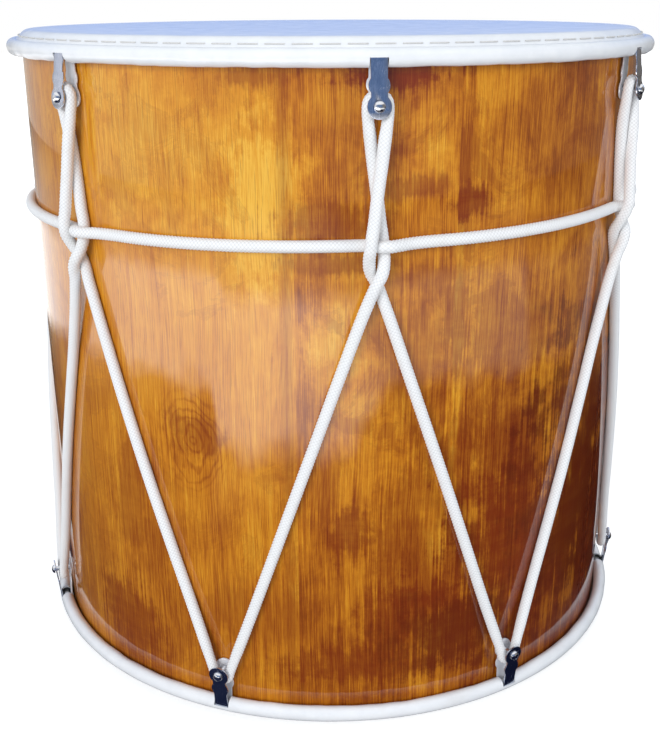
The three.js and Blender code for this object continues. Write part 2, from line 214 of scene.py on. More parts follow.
clear_selection()
bpy.ops.mesh.primitive_circle_add(vertices=FLOOR_SIDES, radius=FLOOR_RADIUS, fill_type="NGON")
floor = bpy.context.active_object
floor.name = "floor"
paper, tree, exit_socket = stage_finish("paper")
lit = put(tree, "BsdfDiffuse", {"Color": (FLOOR_GREY, FLOOR_GREY, FLOOR_GREY, 1)}).outputs[0]
reach = vectors(tree, "LENGTH", put(tree, "TexCoord").outputs["Object"])
own = between(tree, reach, *GLOW_REACH, NEAR_GLOW, FAR_GLOW)
own = sums(tree, "MULTIPLY", seen_directly(tree), own)
glow = put(tree, "Emission", {"Color": (1, 1, 1, 1), "Strength": own}).outputs[0]
tree.links.new(put(tree, "AddShader", {0: lit, 1: glow}).outputs[0], exit_socket)
floor.data.materials.append(paper)

for name, place, power, size in LAMPS:
    turn = (AIM - Vector(place)).to_track_quat("-Z", "Y").to_euler()
    bpy.ops.object.light_add(type="AREA", location=place, rotation=turn)
    lamp = bpy.context.active_object
    lamp.name = name
    lamp.data.energy, lamp.data.size = power, size
    lamp.visible_glossy = False
bpy.context.scene.view_settings.view_transform = "Standard"
print("stage: floor, sky and", len(LAMPS), "lamps")

# %% Put up the flags
WALL_RADIUS, WALL_HEIGHT, WALL_SIDES = 3.2, 2.2, 72
WALL_FRONT, WALL_BACK = (0.13, 0.205, 0.36), (0.2, 0.4, 1.0)
WALL_LEFT, WALL_RIGHT, WALL_TOP = (0.78, 0.78, 0.8), (0.21, 0.19, 0.17), (0.52, 0.62, 0.86)
FOOT_LEFT, FOOT_RIGHT, FOOT_TOP = (0.62, 0.58, 0.54), (0.16, 0.14, 0.12), (-0.86, -0.78)
WALL_FADE, WALL_BEHIND, FOOT_ACROSS = (-0.6, 0.2), (0.0, 1.0), (-0.9, 0.3)
# Share of the way round from the back, by the left and the front
WALL_PARTS = (
    (0, WALL_BACK), (0.04, WALL_BACK), (0.1, WALL_RIGHT), (0.2, WALL_LEFT), (0.29, WALL_LEFT),
    (0.44, WALL_FRONT), (0.58, WALL_FRONT), (0.64, WALL_RIGHT), (0.91, WALL_RIGHT),
    (0.96, WALL_BACK), (1, WALL_BACK),
)
CARD_RADIUS, CARD_SIDES, CARD_LIFT = 3.2, 64, 0.0004
# Share of the card's radius
CARD_BANDS = (
    (0.09, (0.0045, 0.006, 0.016)), (0.16, (0.0075, 0.01, 0.022)), (0.2, 0.07), (0.225, 0.8),
    (0.4, 0.85), (0.45, 0.35), (0.5, 0.25), (1.0, 0.1),
)
CARD_ACROSS, CARD_LEFT, CARD_RIGHT = (-0.25, 0.35), 3.9, 1.2
CARD_ALONG, CARD_BACK = (-0.45, 0.15), 0.5
CARD_END, BEYOND_END = (1.2, 1.28), 0.4
CARD_WAVES, CARD_RAGGED = 6.0, 0.06
CARD_TONGUE, TONGUE_REACH = (-0.71, -0.62, 0.05, 0.4), 0.062


def only_in_reflections(card, finish):
    card.data.materials.append(finish)
    for ray in ("camera", "diffuse", "transmission", "shadow", "volume_scatter"):
        setattr(card, "visible_" + ray, False)


def bearing_of(tree, apart):
    return sums(tree, "ARCTAN2", apart[0], sums(tree, "MULTIPLY", apart[1], -1.0))


def share_round(tree, bearing):
    return sums(tree, "MULTIPLY_ADD", bearing, 0.5 / math.pi, 0.5)


clear_selection()
bpy.ops.mesh.primitive_cylinder_add(
    vertices=WALL_SIDES, radius=WALL_RADIUS, depth=WALL_HEIGHT, end_fill_type="NOTHING",
    location=(0, 0, WALL_HEIGHT / 2),
)
wall = bpy.context.active_object
wall.name = "wall_flag"
dusk, tree, exit_socket = stage_finish("wall_flag")
spot = put(tree, "SeparateXYZ", {0: put(tree, "TexCoord").outputs["Object"]}).outputs
tint = ramp(tree, share_round(tree, bearing_of(tree, spot)), WALL_PARTS)
behind = between(tree, spot[1], *WALL_BEHIND)
fade = sums(tree, "MULTIPLY", between(tree, spot[2], *WALL_FADE), behind)
tint = mixed(tree, fade, tint, (*WALL_TOP, 1))
foot = sums(tree, "MULTIPLY", between(tree, spot[2], *FOOT_TOP, 1.0, 0.0), behind)
base = mixed(tree, between(tree, spot[0], *FOOT_ACROSS), (*FOOT_LEFT, 1), (*FOOT_RIGHT, 1))
tint = mixed(tree, foot, tint, base)
tree.links.new(put(tree, "Emission", {"Color": tint}).outputs[0], exit_socket)
only_in_reflections(wall, dusk)

clear_selection()
bpy.ops.mesh.primitive_circle_add(
    vertices=CARD_SIDES, radius=CARD_RADIUS, fill_type="NGON", location=(0, 0, CARD_LIFT)
)
card = bpy.context.active_object
card.name = "floor_flag"
shade, tree, exit_socket = stage_finish("floor_flag")
spot = put(tree, "TexCoord").outputs["Object"]
share = sums(tree, "DIVIDE", vectors(tree, "LENGTH", spot), CARD_RADIUS)
wander = sums(tree, "SUBTRACT", noise(tree, spot, CARD_WAVES), 0.5)
share = sums(tree, "MULTIPLY_ADD", wander, CARD_RAGGED, share)
across, along = put(tree, "SeparateXYZ", {0: spot}).outputs[:2]
bearing = bearing_of(tree, (across, along))
tongue = between(tree, bearing, *CARD_TONGUE[:2])
tongue = sums(tree, "MULTIPLY", tongue, between(tree, bearing, *CARD_TONGUE[2:], TONGUE_REACH, 0.0))
share = sums(tree, "ADD", share, tongue)
power = between(tree, across, *CARD_ACROSS, CARD_LEFT, CARD_RIGHT)
power = sums(tree, "MULTIPLY", power, between(tree, along, *CARD_ALONG, 1.0, CARD_BACK))
power = sums(tree, "MULTIPLY", power, between(tree, bearing, *CARD_END, 1.0, BEYOND_END))
fade = ramp(tree, share, CARD_BANDS)
tree.links.new(put(tree, "Emission", {"Color": fade, "Strength": power}).outputs[0], exit_socket)
only_in_reflections(card, shade)
print("flags: wall", WALL_RADIUS, "m and floor card", CARD_RADIUS, "m")

# %% [markdown]
# ## Helpers for modelling
#
# Operators work on whatever is selected, so each piece starts with nothing selected. Parts of a mesh are
# picked by place, because there is no mouse here. Round pieces start as a line of points, traced by
# extruding one point again and again, which the spin operator then turns round an axis. Each new piece has
# its place applied to its mesh, so that its object stays at the origin and patterns don't slide on it.

# %% Modelling helpers
MM = 0.001


def choose(piece):
    clear_selection()
    piece.select_set(True)
    bpy.context.view_layer.objects.active = piece


def christen(name):
    bpy.ops.object.transform_apply(location=True, rotation=True, scale=True)
    piece = bpy.context.active_object
    piece.name = piece.data.name = name
    return piece


def middle_of(part):
    return sum((corner.co for corner in part.verts), Vector()) / len(part.verts)


def pick(piece, kind, test):
    bpy.ops.mesh.select_mode(type=kind)
    bpy.ops.mesh.select_all(action="DESELECT")
    shape = bmesh.from_edit_mesh(piece.data)
    parts = shape.edges if kind == "EDGE" else shape.faces
    chosen = [part for part in parts if test(middle_of(part))]
    for part in chosen:
        part.select_set(True)
    shape.select_flush_mode()
    bmesh.update_edit_mesh(piece.data)
    return len(chosen)


def trace_profile(name, points):
    clear_selection()
    points = [Vector(p) * MM for p in points]
    bpy.ops.mesh.primitive_plane_add(size=0.01, location=points[0])
    piece = christen(name)
    bpy.ops.object.mode_set(mode="EDIT")
    bpy.ops.mesh.select_mode(type="VERT")
    bpy.ops.mesh.select_all(action="SELECT")
    bpy.ops.mesh.merge(type="CENTER")
    bpy.ops.mesh.select_all(action="SELECT")
    for here, there in zip(points, points[1:]):
        bpy.ops.mesh.extrude_vertices_move(TRANSFORM_OT_translate={"value": there - here})
    return piece


def face_outwards():
    bpy.ops.mesh.select_all(action="SELECT")
    bpy.ops.mesh.normals_make_consistent(inside=False)
    bpy.ops.object.mode_set(mode="OBJECT")


def turn_round(steps):
    bpy.ops.mesh.select_all(action="SELECT")
    bpy.ops.mesh.spin(steps=steps, angle=2 * math.pi, center=(0, 0, 0), axis=(0, 0, 1))
    bpy.ops.mesh.select_all(action="SELECT")
    bpy.ops.mesh.remove_doubles(threshold=1e-6)
    face_outwards()


def copy_round(count, pitch):
    sweep = pitch * (count - 1)
    bpy.ops.mesh.spin(steps=count - 1, dupli=True, angle=sweep, center=(0, 0, 0), axis=(0, 0, 1))


def apply_modifier(piece, kind, **options):
    choose(piece)
    made = piece.modifiers.new(kind.lower(), kind)
    for key, value in options.items():
        setattr(made, key, value)
    bpy.ops.object.modifier_apply(modifier=made.name)


def cut(piece, tool, how="DIFFERENCE"):
    apply_modifier(piece, "BOOLEAN", object=tool, operation=how, solver="EXACT")
    bpy.data.objects.remove(tool)


def smooth(piece, degrees):
    choose(piece)
    bpy.ops.object.shade_smooth_by_angle(angle=math.radians(degrees))


def coat(piece, finish):
    piece.data.materials.clear()
    piece.data.materials.append(finish)


def finish_piece(piece, finish, slot, *nodes):
    coat(piece, finish)
    if nodes:
        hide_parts(*nodes)


def arc(x, z, radius, from_degrees, to_degrees, steps):
    turns = np.radians(np.linspace(from_degrees, to_degrees, steps + 1))
    return [(x + radius * math.cos(t), 0, z + radius * math.sin(t)) for t in turns]


print("modelling helpers ready")

# %% [markdown]
# ## Sizes shared by the pieces
#
# The frame's round pieces have 42 flats. A true circle that touches the flats from inside keeps the gap
# to the clips, which sit over the middle of a flat. The other numbers repeat the frame's.

# %% Sizes in millimetres
FLATS = 42
TO_FLAT = math.cos(math.pi / FLATS)
DRUM_HEIGHT = 332
SHELL_IN_FRAME, RING_IN_FRAME = 165, 169.3
SHELL_RADIUS, CLIP_RADIUS = SHELL_IN_FRAME * TO_FLAT, RING_IN_FRAME * TO_FLAT
SHELL_WALL = 6
EDGE_ROUNDING = 4
SHELL_END = 1.0
SKIN = 0.7
RING_DROP = 8.2
CLIPS = 7
PITCH = 2 * math.pi / CLIPS
FIRST_CLIP = math.radians(6.6)
UPPER_RING_Z = DRUM_HEIGHT - RING_DROP
EYE_DROP = 19
UPPER_RIVET_Z = UPPER_RING_Z - EYE_DROP
LOWER_RIVET_Z = RING_DROP + EYE_DROP
print("shell radius", round(SHELL_RADIUS, 2), "mm, upper ring at", UPPER_RING_Z, "mm")

# %% [markdown]
# ## The shell
#
# A sheet of veneered wood bent to a tube, with its ends rounded so that they don't cut the heads. It
# starts as an open cylinder. Solidify gives the wall its thickness inwards, which keeps the outer size,
# and a bevel rounds the outer rims. A boolean of two cylinders would give the same tube with worse faces.

# %% Model the shell
SHELL_SIDES = 252
RIM_SLACK = 0.5

clear_selection()
bpy.ops.mesh.primitive_cylinder_add(
    vertices=SHELL_SIDES,
    radius=SHELL_RADIUS * MM,
    depth=(DRUM_HEIGHT - 2 * SHELL_END) * MM,
    end_fill_type="NOTHING",
    location=(0, 0, DRUM_HEIGHT / 2 * MM),
)
shell = christen("veneer_shell")
apply_modifier(shell, "SOLIDIFY", thickness=SHELL_WALL * MM, offset=-1.0)
bpy.ops.object.mode_set(mode="EDIT")


def on_outer_rim(middle):
    end = min(middle.z, DRUM_HEIGHT * MM - middle.z) < (SHELL_END + RIM_SLACK) * MM
    return end and math.hypot(middle.x, middle.y) > (SHELL_RADIUS - RIM_SLACK) * MM


rim_edges = pick(shell, "EDGE", on_outer_rim)
bpy.ops.mesh.bevel(offset=EDGE_ROUNDING * MM, segments=5)
bpy.ops.object.mode_set(mode="OBJECT")
smooth(shell, 40)
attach(shell, "drum")
print("shell:", rim_edges, "rim edges rounded,", len(shell.data.polygons), "faces")

# %% [markdown]
# ## Streaks: an effect that both woods share
#
# Wood shows long thin streaks along its grain. The veneer and the bare hoops inside both need them, so
# they are one node group: a fine noise and a coarse noise, each drawn out along the grain.

# %% Build the streak group
def new_group(name, inputs, outputs):
    tree = bpy.data.node_groups.new(name, "ShaderNodeTree")
    for label, kind in inputs:
        tree.interface.new_socket(label, in_out="INPUT", socket_type="NodeSocket" + kind)
    for label, kind in outputs:
        tree.interface.new_socket(label, in_out="OUTPUT", socket_type="NodeSocket" + kind)
    return tree, put(tree, "NodeGroupInput").outputs


def close_group(tree, **results):
    exits = put(tree, "NodeGroupOutput")
    for label, socket in results.items():
        tree.links.new(socket, exits.inputs[label])


streaks, given = new_group(
    "streaks along the grain",
    [("Place", "Vector"), ("Width", "Float"), ("Length", "Float")],
    [("Fine", "Float"), ("Coarse", "Float"), ("Pores", "Float")],
)
apart = put(streaks, "SeparateXYZ", {0: given["Place"]}).outputs
wide = sums(streaks, "DIVIDE", apart[0], given["Width"])
deep = sums(streaks, "DIVIDE", apart[1], given["Width"])
long = sums(streaks, "DIVIDE", apart[2], given["Length"])
grain = put(streaks, "CombineXYZ", {0: wide, 1: deep, 2: long}).outputs[0]
fine = noise(streaks, grain, 1.0, 2.0, 0.55)
coarse = noise(streaks, grain, (0.2, 0.2, 0.14), 3.0, 0.55)
specks = noise(streaks, grain, (0.7, 0.7, 0.9), 1.0)
pores = between(streaks, specks, 0.6, 0.7)
close_group(streaks, Fine=fine, Coarse=coarse, Pores=pores)
print("group:", streaks.name)

# %% [markdown]
# ## The veneer
#
# The shell is faced with strips of veneer whose grain stands upright, stained in honey and red-brown
# patches and lacquered to a high gloss. The place on the shell is unrolled to a flat sheet first: the
# angle round the axis becomes a length. Each strip shifts the sheet, so that the grain breaks at a seam.
# Growth rings are the contour lines of a slow noise, drawn out along the grain, which gives the arches
# and ovals of sliced wood. Stains are soft patches, frayed along the grain: some are listed where the drum
# has them, and the rest come from noise. A few listed dark patches are painted shade: the strip just under
# the upper hem is all shade, and the dark lower right is partly stain and partly painted shade. The veneer
# is also darker towards the foot and lighter at the top, partly as painted shade and painted light, partly
# in its own tone. The lacquer is the shader's own coat.

# %% Group for one stain
stain, given = new_group(
    "ragged patch",
    [("Place", "Vector"), ("Middle", "Vector"), ("Reach", "Vector"), ("Ragged", "Float")],
    [("Far", "Float"), ("Mask", "Float")],
)
away = vectors(stain, "SUBTRACT", given["Place"], given["Middle"])
far = vectors(stain, "LENGTH", vectors(stain, "DIVIDE", away, given["Reach"]))
frayed = sums(stain, "ADD", far, given["Ragged"])
close_group(stain, Far=far, Mask=between(stain, frayed, 0.45, 1.1, 1.0, 0.0))
print("group:", stain.name)

# %% Colours and places of the veneer
STRIP_EDGES = (-180, -122, -66, -7, 19.3, 66, 121)
STRIP_TINTS = (0.47, 0.58, 0.56, 0.46, 0.37, 0.41, 0.45)
# How far a strip of full tint moves its sheet, round the drum and up it
SHIFT_ROUND, SHIFT_UP = 7.31, 3.17
SEAM_HALF, SEAM_SHARE = 0.0005, 0.5
DARK_TO_LIGHT = (
    (0.0, (0.16, 0.028, 0.002)),
    (0.28, (0.345, 0.088, 0.004)),
    (0.52, (0.57, 0.197, 0.0085)),
    (0.78, (0.71, 0.31, 0.018)),
    (1.0, (0.82, 0.45, 0.053)),
)
STAIN_AND_SHADE_COLOUR = (0.195, 0.0245, 0.002, 1)
DEEP_STAIN_AND_SHADE_COLOUR = (0.085, 0.011, 0.0015, 1)
# Each patch: degrees round from the front, height in millimetres, reach each way, strength
DARK_STAIN_AND_SHADE_PATCHES = (
    # The two rows at 316 and 317 mm are painted shade: the dark strip just under the upper hem.
    (9, 317, 13, 10, 1.0),
    (-12, 316, 9, 5, 0.6),
    (21.5, 263, 6, 9, 1.0),
    (13, 270, 10, 7, 0.6),
    (0, 256, 9, 11, 0.65),
    (2, 237, 11, 6, 0.6),
    (17, 230, 9, 8, 0.45),
    (20, 208, 3.2, 30, 0.65),
    (14, 196, 9, 26, 0.4),
    (33, 198, 12, 30, 0.5),
    (30, 142, 16, 26, 0.65),
    # These two rows darken the lower right: partly stain, partly painted shade.
    (41, 80, 30, 80, 0.95),
    (64, 70, 18, 130, 1.0),
    (17, 66, 12, 15, 0.95),
    (-40, 36, 10, 26, 0.7),
    (8, 34, 20, 14, 0.75),
    (-2, 126, 5, 24, 0.4),
    (3, 106, 6, 20, 0.75),
    (-31, 96, 6, 34, 0.35),
    (-23, 153, 6, 15, 0.55),
    (-37, 112, 7, 40, 0.45),
    (-12, 60, 14, 22, 0.3),
    (18.4, 196, 0.9, 52, 0.6),
    (13, 98, 9, 52, 0.5),
    (23, 46, 10, 32, 0.9),
    (11, 56, 9, 28, 0.75),
)
# The first deep patch, on the lower right, is partly stain and partly painted shade.
DEEP_STAIN_AND_SHADE_PATCHES = ((50, 112, 16, 104, 0.55), (22, 46, 14, 26, 0.42))
LIGHT_PATCHES = (
    (-30, 285, 22, 40, 0.2),
    (-10, 262, 8, 45, 0.28),
    (15, 292, 4, 22, 0.1),
    (1, 202, 6, 20, 0.24),
    (18, 100, 4, 20, 0.16),
    (-12, 110, 6, 34, 0.12),
    (20.3, 186, 1.1, 62, 0.3),
)
RING_EYE, EYE_REACH, EYE_RINGS, EYE_BEND, EYE_SHARE = (-23.5, 149), (9, 34), 7, 0.8, 1.1
GRAIN_SWAY = 0.006
VENEER_STREAKS = {"Width": 0.00024, "Length": 0.015}
FRAY, FRINGE = 2.8, 1.5
GROWTH_RINGS, RING_SHARPNESS, RING_SHARE = 13, 2.5, 0.3
COARSE_TONE, FINE_TONE, RING_TONE = 0.55, 0.9, -0.17
CALM_TO_RESTLESS, UNREST = (-0.3, 0.1), (0.6, 1.3)
# Darker at the foot and lighter at the top: partly painted shade and painted light, partly the wood's own
# tone.
FOOT_TO_TOP, FOOT_SHADE_AND_TONE, TOP_LIGHT_AND_TONE = (0.02, 0.26), -0.1, 0.05
BLOTCH_EDGE, BLOTCH_FULL, BLOTCH_SHARE = 0.55, 0.6, 0.32
OUTLINE_WIDTH, OUTLINE_SHARE = 0.03, 0.2
PORE_SHARE = 0.4
LACQUER = (
    ("Specular IOR Level", 0.1), ("Coat Weight", 1.0), ("Coat Roughness", 0.045), ("Coat IOR", 1.55)
)
placed = len(DARK_STAIN_AND_SHADE_PATCHES) + len(DEEP_STAIN_AND_SHADE_PATCHES) + len(LIGHT_PATCHES)
print("veneer:", len(STRIP_EDGES), "strips and", placed, "patches placed by hand")

# %% Lay out the veneer's grain
veneer, tree, surface, place = new_finish("lacquered_veneer")
apart = put(tree, "SeparateXYZ", {0: place}).outputs
angle = bearing_of(tree, apart)
turn = share_round(tree, angle)
strip = ramp(tree, turn, [(e / 360 + 0.5, t) for e, t in zip(STRIP_EDGES, STRIP_TINTS)], "CONSTANT")
shift = sums(tree, "MULTIPLY", strip, SHIFT_ROUND)
length = sums(tree, "MULTIPLY_ADD", angle, SHELL_RADIUS * MM, shift)
height = sums(tree, "MULTIPLY_ADD", strip, SHIFT_UP, apart[2])
sheet = put(tree, "CombineXYZ", {0: length, 1: strip, 2: height}).outputs[0]

sway = sums(tree, "MULTIPLY_ADD", noise(tree, sheet, (6.0, 1.0, 9.0)), GRAIN_SWAY, length)
grain = put(tree, "CombineXYZ", {0: sway, 1: strip, 2: height}).outputs[0]
lines = put(tree, "Group", {"Place": grain, **VENEER_STREAKS}, node_tree=streaks).outputs

in_mm = sums(tree, "DIVIDE", apart[2], MM)
flat = put(tree, "CombineXYZ", {0: sums(tree, "DEGREES", angle), 2: in_mm}).outputs[0]
frays = noise(tree, sheet, (70.0, 1.0, 60.0), 7.0, 0.7)
ragged = sums(tree, "MULTIPLY_ADD", frays, FRAY, -0.5 * (FRAY + FRINGE))
ragged = sums(tree, "MULTIPLY_ADD", lines["Coarse"], FRINGE, ragged)


def patch(degrees, z, wide, tall):
    inputs = {"Place": flat, "Middle": (degrees, 0, z), "Reach": (wide, 1, tall), "Ragged": ragged}
    return put(tree, "Group", inputs, node_tree=stain).outputs


def patches(rows):
    mask = None
    for *where, strength in rows:
        one = sums(tree, "MULTIPLY", patch(*where)["Mask"], strength)
        mask = one if mask is None else sums(tree, "MAXIMUM", mask, one)
    return mask


def centred(value):
    return sums(tree, "SUBTRACT", value, 0.5)


far = patch(*RING_EYE, *EYE_REACH)["Far"]
bent = noise(tree, sheet, (50.0, 1.0, 34.0), 3.0, 0.55)
ovals = waves(tree, sums(tree, "MULTIPLY_ADD", bent, EYE_BEND, far), EYE_RINGS)
near = between(tree, far, 0.35, 1.0, 1.0, 0.0)
ovals = sums(tree, "MULTIPLY", sums(tree, "MAXIMUM", ovals, 0.0), near)
rings = waves(tree, noise(tree, grain, (15.0, 1.0, 3.0), 1.0, 0.4), GROWTH_RINGS)
rings = sums(tree, "POWER", sums(tree, "MULTIPLY_ADD", rings, 0.5, 0.5), RING_SHARPNESS)
rings = sums(tree, "MULTIPLY_ADD", rings, RING_SHARE, sums(tree, "MULTIPLY", ovals, EYE_SHARE))
clouds = noise(tree, sheet, (34.0, 1.0, 23.0), 7.0, 0.66, 0.5)
print("grain laid out with", len(tree.nodes), "nodes")

# %% Colour and lacquer the veneer
tone = sums(tree, "MULTIPLY_ADD", centred(lines["Coarse"]), COARSE_TONE, strip)
tone = sums(tree, "MULTIPLY_ADD", centred(lines["Fine"]), FINE_TONE, tone)
unrest = between(tree, angle, *CALM_TO_RESTLESS, *UNREST)
tone = sums(tree, "MULTIPLY_ADD", centred(clouds), unrest, tone)
tone = sums(tree, "MULTIPLY_ADD", rings, RING_TONE, tone)
tone = sums(tree, "ADD", tone, patches(LIGHT_PATCHES))
# Painted shade towards the foot and painted light towards the top, mixed with the wood's own tone.
tone = sums(tree, "ADD", tone, between(tree, apart[2], *FOOT_TO_TOP, FOOT_SHADE_AND_TONE, TOP_LIGHT_AND_TONE))
wood = ramp(tree, tone, DARK_TO_LIGHT)

flow = noise(tree, sheet, (24.0, 1.0, 20.0), 7.0, 0.66, 0.9)
blotch = between(tree, flow, BLOTCH_EDGE, BLOTCH_FULL, 0.0, BLOTCH_SHARE)
blotch = sums(tree, "MULTIPLY", blotch, unrest)
off_edge = sums(tree, "ABSOLUTE", sums(tree, "SUBTRACT", flow, BLOTCH_EDGE))
outline = between(tree, off_edge, 0.0, OUTLINE_WIDTH, OUTLINE_SHARE, 0.0)
dark = sums(tree, "MAXIMUM", sums(tree, "MAXIMUM", blotch, outline), patches(DARK_STAIN_AND_SHADE_PATCHES))
curl = between(tree, noise(tree, sheet, (40.0, 1.0, 230.0), 3.0, 0.6), 0.38, 0.6, 0.86, 1.0)
grip = between(tree, lines["Fine"], 0.25, 0.75, 1.05, 0.85)
dark = sums(tree, "MULTIPLY", dark, sums(tree, "MULTIPLY", curl, grip))
# The dark mask holds stains and, in a few listed patches, painted shade.
wood = mixed(tree, dark, wood, STAIN_AND_SHADE_COLOUR)
# Deep patches: stains, and on the lower right partly painted shade.
wood = mixed(tree, patches(DEEP_STAIN_AND_SHADE_PATCHES), wood, DEEP_STAIN_AND_SHADE_COLOUR)
wood = mixed(tree, sums(tree, "MULTIPLY", lines["Pores"], PORE_SHARE), wood, STAIN_AND_SHADE_COLOUR)

seam_stops = []
for edge in STRIP_EDGES[1:]:
    middle = edge / 360 + 0.5
    seam_stops += [(middle - SEAM_HALF, 0.0), (middle, 1.0), (middle + SEAM_HALF, 0.0)]
seam = ramp(tree, turn, seam_stops)
wood = mixed(tree, sums(tree, "MULTIPLY", seam, SEAM_SHARE), wood, STAIN_AND_SHADE_COLOUR)
gloss = between(tree, lines["Fine"], 0.2, 0.8, 0.36, 0.52)
dress(tree, surface, wood, gloss, bump(tree, lines["Fine"], 0.00005, 0.3), LACQUER)
finish_piece(shell, veneer, "shell_veneer", "shell")
print("veneer:", len(tree.nodes), "nodes")

# %% [markdown]
# ## The stiffening hoops
#
# Two hoops of bare wood are glued inside the ends of the shell, where only a torn head would show them.
# Their solids are right already, so they stay and get bare wood. Their grain runs round the hoop, so the
# angle takes the long direction of the same streak group.

# %% Finish the hoops
HOOP_RADIUS = 0.15
HOOP_STREAKS = {"Width": 0.0012, "Length": 0.05}

bare, tree, surface, place = new_finish("bare_hoop_wood")
apart = put(tree, "SeparateXYZ", {0: place}).outputs
angle = sums(tree, "ARCTAN2", apart[0], apart[1])
length = sums(tree, "MULTIPLY", angle, HOOP_RADIUS)
around = put(tree, "CombineXYZ", {0: apart[2], 2: length}).outputs[0]
lines = put(tree, "Group", {"Place": around, **HOOP_STREAKS}, node_tree=streaks).outputs
pale = ramp(tree, lines["Coarse"], [(0.3, (0.42, 0.24, 0.1)), (0.7, (0.66, 0.44, 0.22))])
pale = mixed(tree, sums(tree, "MULTIPLY", lines["Pores"], 0.5), pale, (0.2, 0.09, 0.03, 1))
rough = between(tree, lines["Fine"], 0.2, 0.8, 0.55, 0.8)
dress(tree, surface, pale, rough, bump(tree, lines["Fine"], 0.0001, 0.5))
for name in ("lower_stiffener", "upper_stiffener"):
    coat(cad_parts[name], bare)
print("hoops finished")

# %% [markdown]
# ## The heads
#
# Each head is one white skin: flat across the drum, over the rounded edge, down to the steel ring, round
# it and sewn to itself. Its section is traced once and spun round the axis. The rolled hem isn't a true
# torus: the skin is gathered as it goes round, so a noise pushes the hem in and out by a few tenths. Then
# a torus hollows the hem where the ring lies, and seven boxes open the slits that the clips pass through.

# %% Model one head
HEAD_SIDES = 336
SEAT_GAP = 0.3
HEM_WIDE, HEM_TALL = 3.55, 4.0
HEM_MIDDLE = 168.72
HEM_TURN, HEM_STEPS = (-180, 116), 24
CREASE = (165.7, 0, -3.1)
POCKET = 3.1
GATHER_SIZE, GATHER_DEPTH, GATHER_LEVEL = 0.011, 0.001, 0.6
# Share of the gathers half-way up the hem, what each half of its height takes off, and the least share
GATHER_MIDDLE, GATHER_FALL, GATHER_LEAST = 0.55, 0.6, 0.2
STRAP_WIDTH = 7
SLIT_WIDTH, SLIT_DEPTH, SLIT_HEIGHT = STRAP_WIDTH + 0.8, 2 * HEM_WIDE + 1.2, HEM_TALL + 1.5
SLIT_TOP = 0.2


def model_head(name, first_slit):
    shoulder = SHELL_RADIUS - EDGE_ROUNDING
    bend_z = -(SHELL_END + EDGE_ROUNDING)
    inner = EDGE_ROUNDING + SEAT_GAP
    outer = inner + SKIN
    hem = arc(0, 0, 1, *HEM_TURN, HEM_STEPS)
    hem = [(HEM_MIDDLE + HEM_WIDE * x, 0, HEM_TALL * z - RING_DROP) for x, _, z in hem]
    points = [(0, 0, -SKIN), (shoulder * 0.5, 0, -SKIN), *arc(shoulder, bend_z, inner, 90, 0, 4)]
    points += [*hem, CREASE, *arc(shoulder, bend_z, outer, 42, 90, 5)]
    points += [(shoulder * 0.5, 0, 0), (0, 0, 0), (0, 0, -SKIN)]
    head = trace_profile(name, points)
    turn_round(HEAD_SIDES)

    gathers = bpy.data.textures.new(name + "_gathers", "CLOUDS")
    gathers.noise_scale = GATHER_SIZE
    gathered = head.vertex_groups.new(name="hem")
    for vertex in head.data.vertices:
        out = (math.hypot(vertex.co.x, vertex.co.y) / MM - HEM_MIDDLE) / HEM_WIDE
        up = (vertex.co.z / MM + RING_DROP) / HEM_TALL
        if math.hypot(out, up) < 1.01 and out > -0.8:
            share = max(GATHER_LEAST, GATHER_MIDDLE - up * GATHER_FALL)
            gathered.add([vertex.index], min(1.0, share), "REPLACE")
    apply_modifier(
        head, "DISPLACE", texture=gathers, texture_coords="LOCAL",
        strength=GATHER_DEPTH, mid_level=GATHER_LEVEL, vertex_group="hem",
    )
    head.vertex_groups.clear()

    clear_selection()
    bpy.ops.mesh.primitive_torus_add(
        major_radius=HEM_MIDDLE * MM, minor_radius=POCKET * MM,
        major_segments=HEAD_SIDES, minor_segments=16, location=(0, 0, -RING_DROP * MM),
    )
    cut(head, christen("pocket"))

    clear_selection()
    side, front = HEM_MIDDLE * math.sin(first_slit), -HEM_MIDDLE * math.cos(first_slit)
    bpy.ops.mesh.primitive_cube_add(
        size=MM,
        location=(side * MM, front * MM, (SLIT_TOP - RING_DROP - SLIT_HEIGHT / 2) * MM),
        rotation=(0, 0, first_slit),
        scale=(SLIT_WIDTH, SLIT_DEPTH, SLIT_HEIGHT),
    )
    slits = christen("slits")
    bpy.ops.object.mode_set(mode="EDIT")
    copy_round(CLIPS, PITCH)
    bpy.ops.object.mode_set(mode="OBJECT")
    cut(head, slits)
    return head


upper_head = model_head("upper_skin", FIRST_CLIP)
upper_head.data.transform(Matrix.Translation((0, 0, DRUM_HEIGHT * MM)))
lower_head = model_head("lower_skin", -(FIRST_CLIP + PITCH / 2))
lower_head.data.transform(Matrix.Rotation(math.pi, 4, "Y"))
print("heads:", [len(h.data.polygons) for h in (upper_head, lower_head)], "faces each")

# %% [markdown]
# ## Soil: an effect that skin and cord share
#
# White things are never evenly white. One group gives a slow mottle and small soft smudges, and each
# material decides how much of them it takes.

# %% Build the soil group
soil, given = new_group(
    "mottle and smudges",
    [("Place", "Vector"), ("Size", "Float")],
    [("Mottle", "Float"), ("Smudge", "Float")],
)
scaled = vectors(soil, "MULTIPLY", given["Place"], given["Size"])
mottle = noise(soil, scaled, 1.0, 3.0, 0.6)
smudge = between(soil, noise(soil, scaled, 0.37, 4.0, 0.65, 0.4), 0.55, 0.75)
close_group(soil, Mottle=mottle, Smudge=smudge)
print("group:", soil.name)

